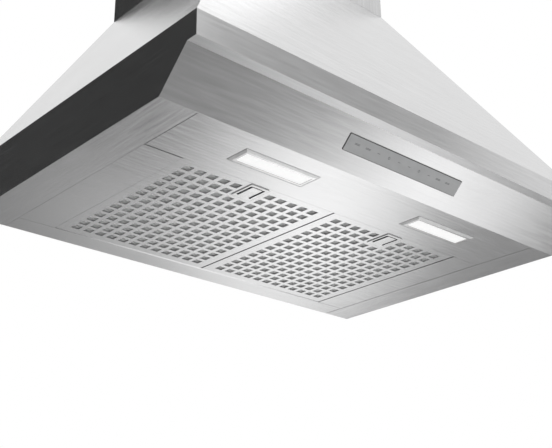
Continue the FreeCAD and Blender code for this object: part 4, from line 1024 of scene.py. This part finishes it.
def add_glow(name, place, half_width, half_length, turn, strength):
    """A soft light that lies over the floor, brightest in its middle and gone at its oval edge."""
    finish = Finish(name)
    spot = {"Location": place, "Rotation": (0, 0, turn), "Scale": (half_width, half_length, 1.0)}
    across = finish.node("Mapping", {"vector_type": "TEXTURE"}, {"Vector": finish.place, **spot})
    distance = finish.node("VectorMath", {"operation": "LENGTH"}, {0: across}, "Value")
    inside = finish.node("Math", {"operation": "MAXIMUM"}, {0: 1.0 - distance * distance, 1: 0.0})
    clear = finish.node("BsdfTransparent")
    light = finish.node("Emission", None, {"Color": WHITE, "Strength": strength})
    finish.surface(inside * inside, clear, light)
    size = Matrix.Rotation(turn, 4, "Z") @ Matrix.Diagonal((half_width, half_length, 1, 1))
    glow = add_sheet(name, Matrix.Translation(place) @ size, 1.0, finish)
    glow.visible_camera = False
    glow.visible_shadow = False


def pale_floor(colour):
    """A matt floor that is as white as the backdrop when the camera looks at it."""
    finish = Finish("floor", base_color=colour, roughness=0.8)
    seen = finish.node("LightPath", output="Is Camera Ray")
    white = finish.node("Emission", None, {"Color": WHITE})
    finish.surface(seen, Signal(finish, finish.shader.outputs[0]), white)
    return finish


def light_world(strength):
    """White to the camera and in metal, and an even soft light on everything else."""
    world = bpy.data.worlds.new("studio")
    world.use_nodes = True
    bpy.context.scene.world = world
    recipe = Recipe(world.node_tree)
    background = world.node_tree.nodes["Background"]
    seen = recipe.node("LightPath", output="Is Camera Ray")
    for ray in ("Is Glossy Ray", "Is Transmission Ray"):
        seen = recipe.math("MAXIMUM", seen, recipe.node("LightPath", output=ray))
    recipe.put(background.inputs["Color"], WHITE)
    recipe.put(background.inputs["Strength"], seen * (1 - strength) + strength)


# Soft lights and shades over the floor that the steel mirrors:
# name, place, half width, half length, turn in degrees, strength.
GLOWS = (
    ("rear glow", (2.19, 2.05, -1.4), 0.8, 2.35, -34.0, 1.87),
    ("far glow", (1.93, 2.34, -1.39), 1.41, 0.65, 1.5, 1.2),
    ("middle glow", (1.25, 0.25, -1.38), 1.0, 0.8, 0.0, 1.7),
    ("front glow", (1.67, -1.36, -1.37), 0.455, 1.55, 57.4, 1.92),
    ("lip glow", (1.35, 0.6, -1.35), 0.5, 0.4, 0.0, 2.3),
    ("edge glow", (0.78, 0.03, -1.34), 0.44, 0.3, 0.0, 1.55),
    ("edge shade right", (1.26, 0.03, -1.335), 0.27, 0.25, 0.0, 0.3),
    ("edge shade left", (0.29, 0.03, -1.335), 0.16, 0.25, 0.0, 0.05),
    ("bezel glow", (0.5, 0.67, -1.33), 0.5, 0.25, 0.0, 0.8),
    ("panel shade", (0.84, 1.33, -1.32), 0.46, 0.52, 0.0, 0.3),
    ("left bezel glow", (0.1, 0.77, -1.325), 0.36, 0.34, 0.0, 0.9),
    ("near glow", (1.75, -2.55, -1.36), 0.8, 0.6, 0.0, 1.8),
)
# Name, place, width, length, power, and whether the lamp shows in metal.
LAMPS = (
    ("overhead softbox", (0.6, -1.6, 3.2), 3.0, 2.0, 30.0, True),
    ("fill light", (-0.5, -1.2, -1.6), 1.6, 1.6, 9.0, False),
)
# Name, place, half size and grey.
CARDS = (
    ("dark flag", (-2.3, 1.8, 1.2), 2.0, 0.07),
    ("grey card", (1.1, -1.75, 0.75), 0.45, 0.9),
)


class HOOD_OT_stage(bpy.types.Operator):
    """Set the camera, the pale floor and the studio light"""

    bl_idname = "hood.stage"
    bl_label = "Stage"

    def execute(self, context):
        scene = context.scene
        stage = scene.hood_stage
        scene.view_settings.view_transform = "Standard"
        data = bpy.data.cameras.new("camera")
        data.sensor_fit = "HORIZONTAL"
        data.sensor_width = SENSOR_WIDTH
        data.lens = stage.camera_lens
        camera = bpy.data.objects.new("camera", data)
        camera.location = stage.camera_place
        camera.rotation_euler = stage.camera_turn
        scene.collection.objects.link(camera)
        scene.camera = camera
        floor_place = Matrix.Translation((0, 0, stage.floor_level))
        add_sheet("floor", floor_place, FLOOR_HALF_SIZE, pale_floor(stage.floor_colour))
        light_world(stage.ambient)
        middle = Vector((CAD_BOX[0] + CAD_BOX[1]) / 2)
        for name, place, half_width, half_length, turn, strength in GLOWS:
            add_glow(name, place, half_width, half_length, math.radians(turn), strength)
        for name, place, width, length, power, in_metal in LAMPS:
            lamp = add_lamp(name, towards(place, middle, "-Z"), width, length, power)
            lamp.visible_glossy = in_metal
        for name, place, half_size, grey in CARDS:
            add_card(name, towards(place, middle, "Z"), half_size, (grey, grey, grey))
        return {"FINISHED"}


class HOOD_PT_panel(bpy.types.Panel):
    """Lists the steps that dress the hood"""

    bl_idname = "HOOD_PT_panel"
    bl_label = "Wall Hood"
    bl_space_type = "VIEW_3D"
    bl_region_type = "UI"
    bl_category = "Wall Hood"

    def draw(self, context):
        for operator in OPERATORS:
            self.layout.operator(operator.bl_idname)
        for group in GROUPS:
            settings = getattr(context.scene, group)
            box = self.layout.box()
            box.label(text=settings.bl_rna.description)
            for name in settings.__annotations__:
                box.prop(settings, name)


GROUPS = {
    "hood_steel": HOOD_PG_steel,
    "hood_filter": HOOD_PG_filter,
    "hood_controls": HOOD_PG_controls,
    "hood_stage": HOOD_PG_stage,
}
OPERATORS = (
    HOOD_OT_sheets, HOOD_OT_filters, HOOD_OT_lights, HOOD_OT_controls, HOOD_OT_blower, HOOD_OT_outlet,
    HOOD_OT_stage,
)
CLASSES = (*GROUPS.values(), *OPERATORS, HOOD_PT_panel)


def register():
    for item in CLASSES:
        bpy.utils.register_class(item)
    for name, group in GROUPS.items():
        setattr(bpy.types.Scene, name, PointerProperty(type=group))


def unregister():
    for name in GROUPS:
        delattr(bpy.types.Scene, name)
    for item in reversed(CLASSES):
        bpy.utils.unregister_class(item)


def main():
    register()
    bpy.ops.hood.sheets()
    bpy.ops.hood.filters()
    bpy.ops.hood.lights()
    bpy.ops.hood.controls()
    bpy.ops.hood.blower()
    bpy.ops.hood.outlet()
    bpy.ops.hood.stage()
    bpy.context.view_layer.update()


if __name__ == "__main__":
    main()
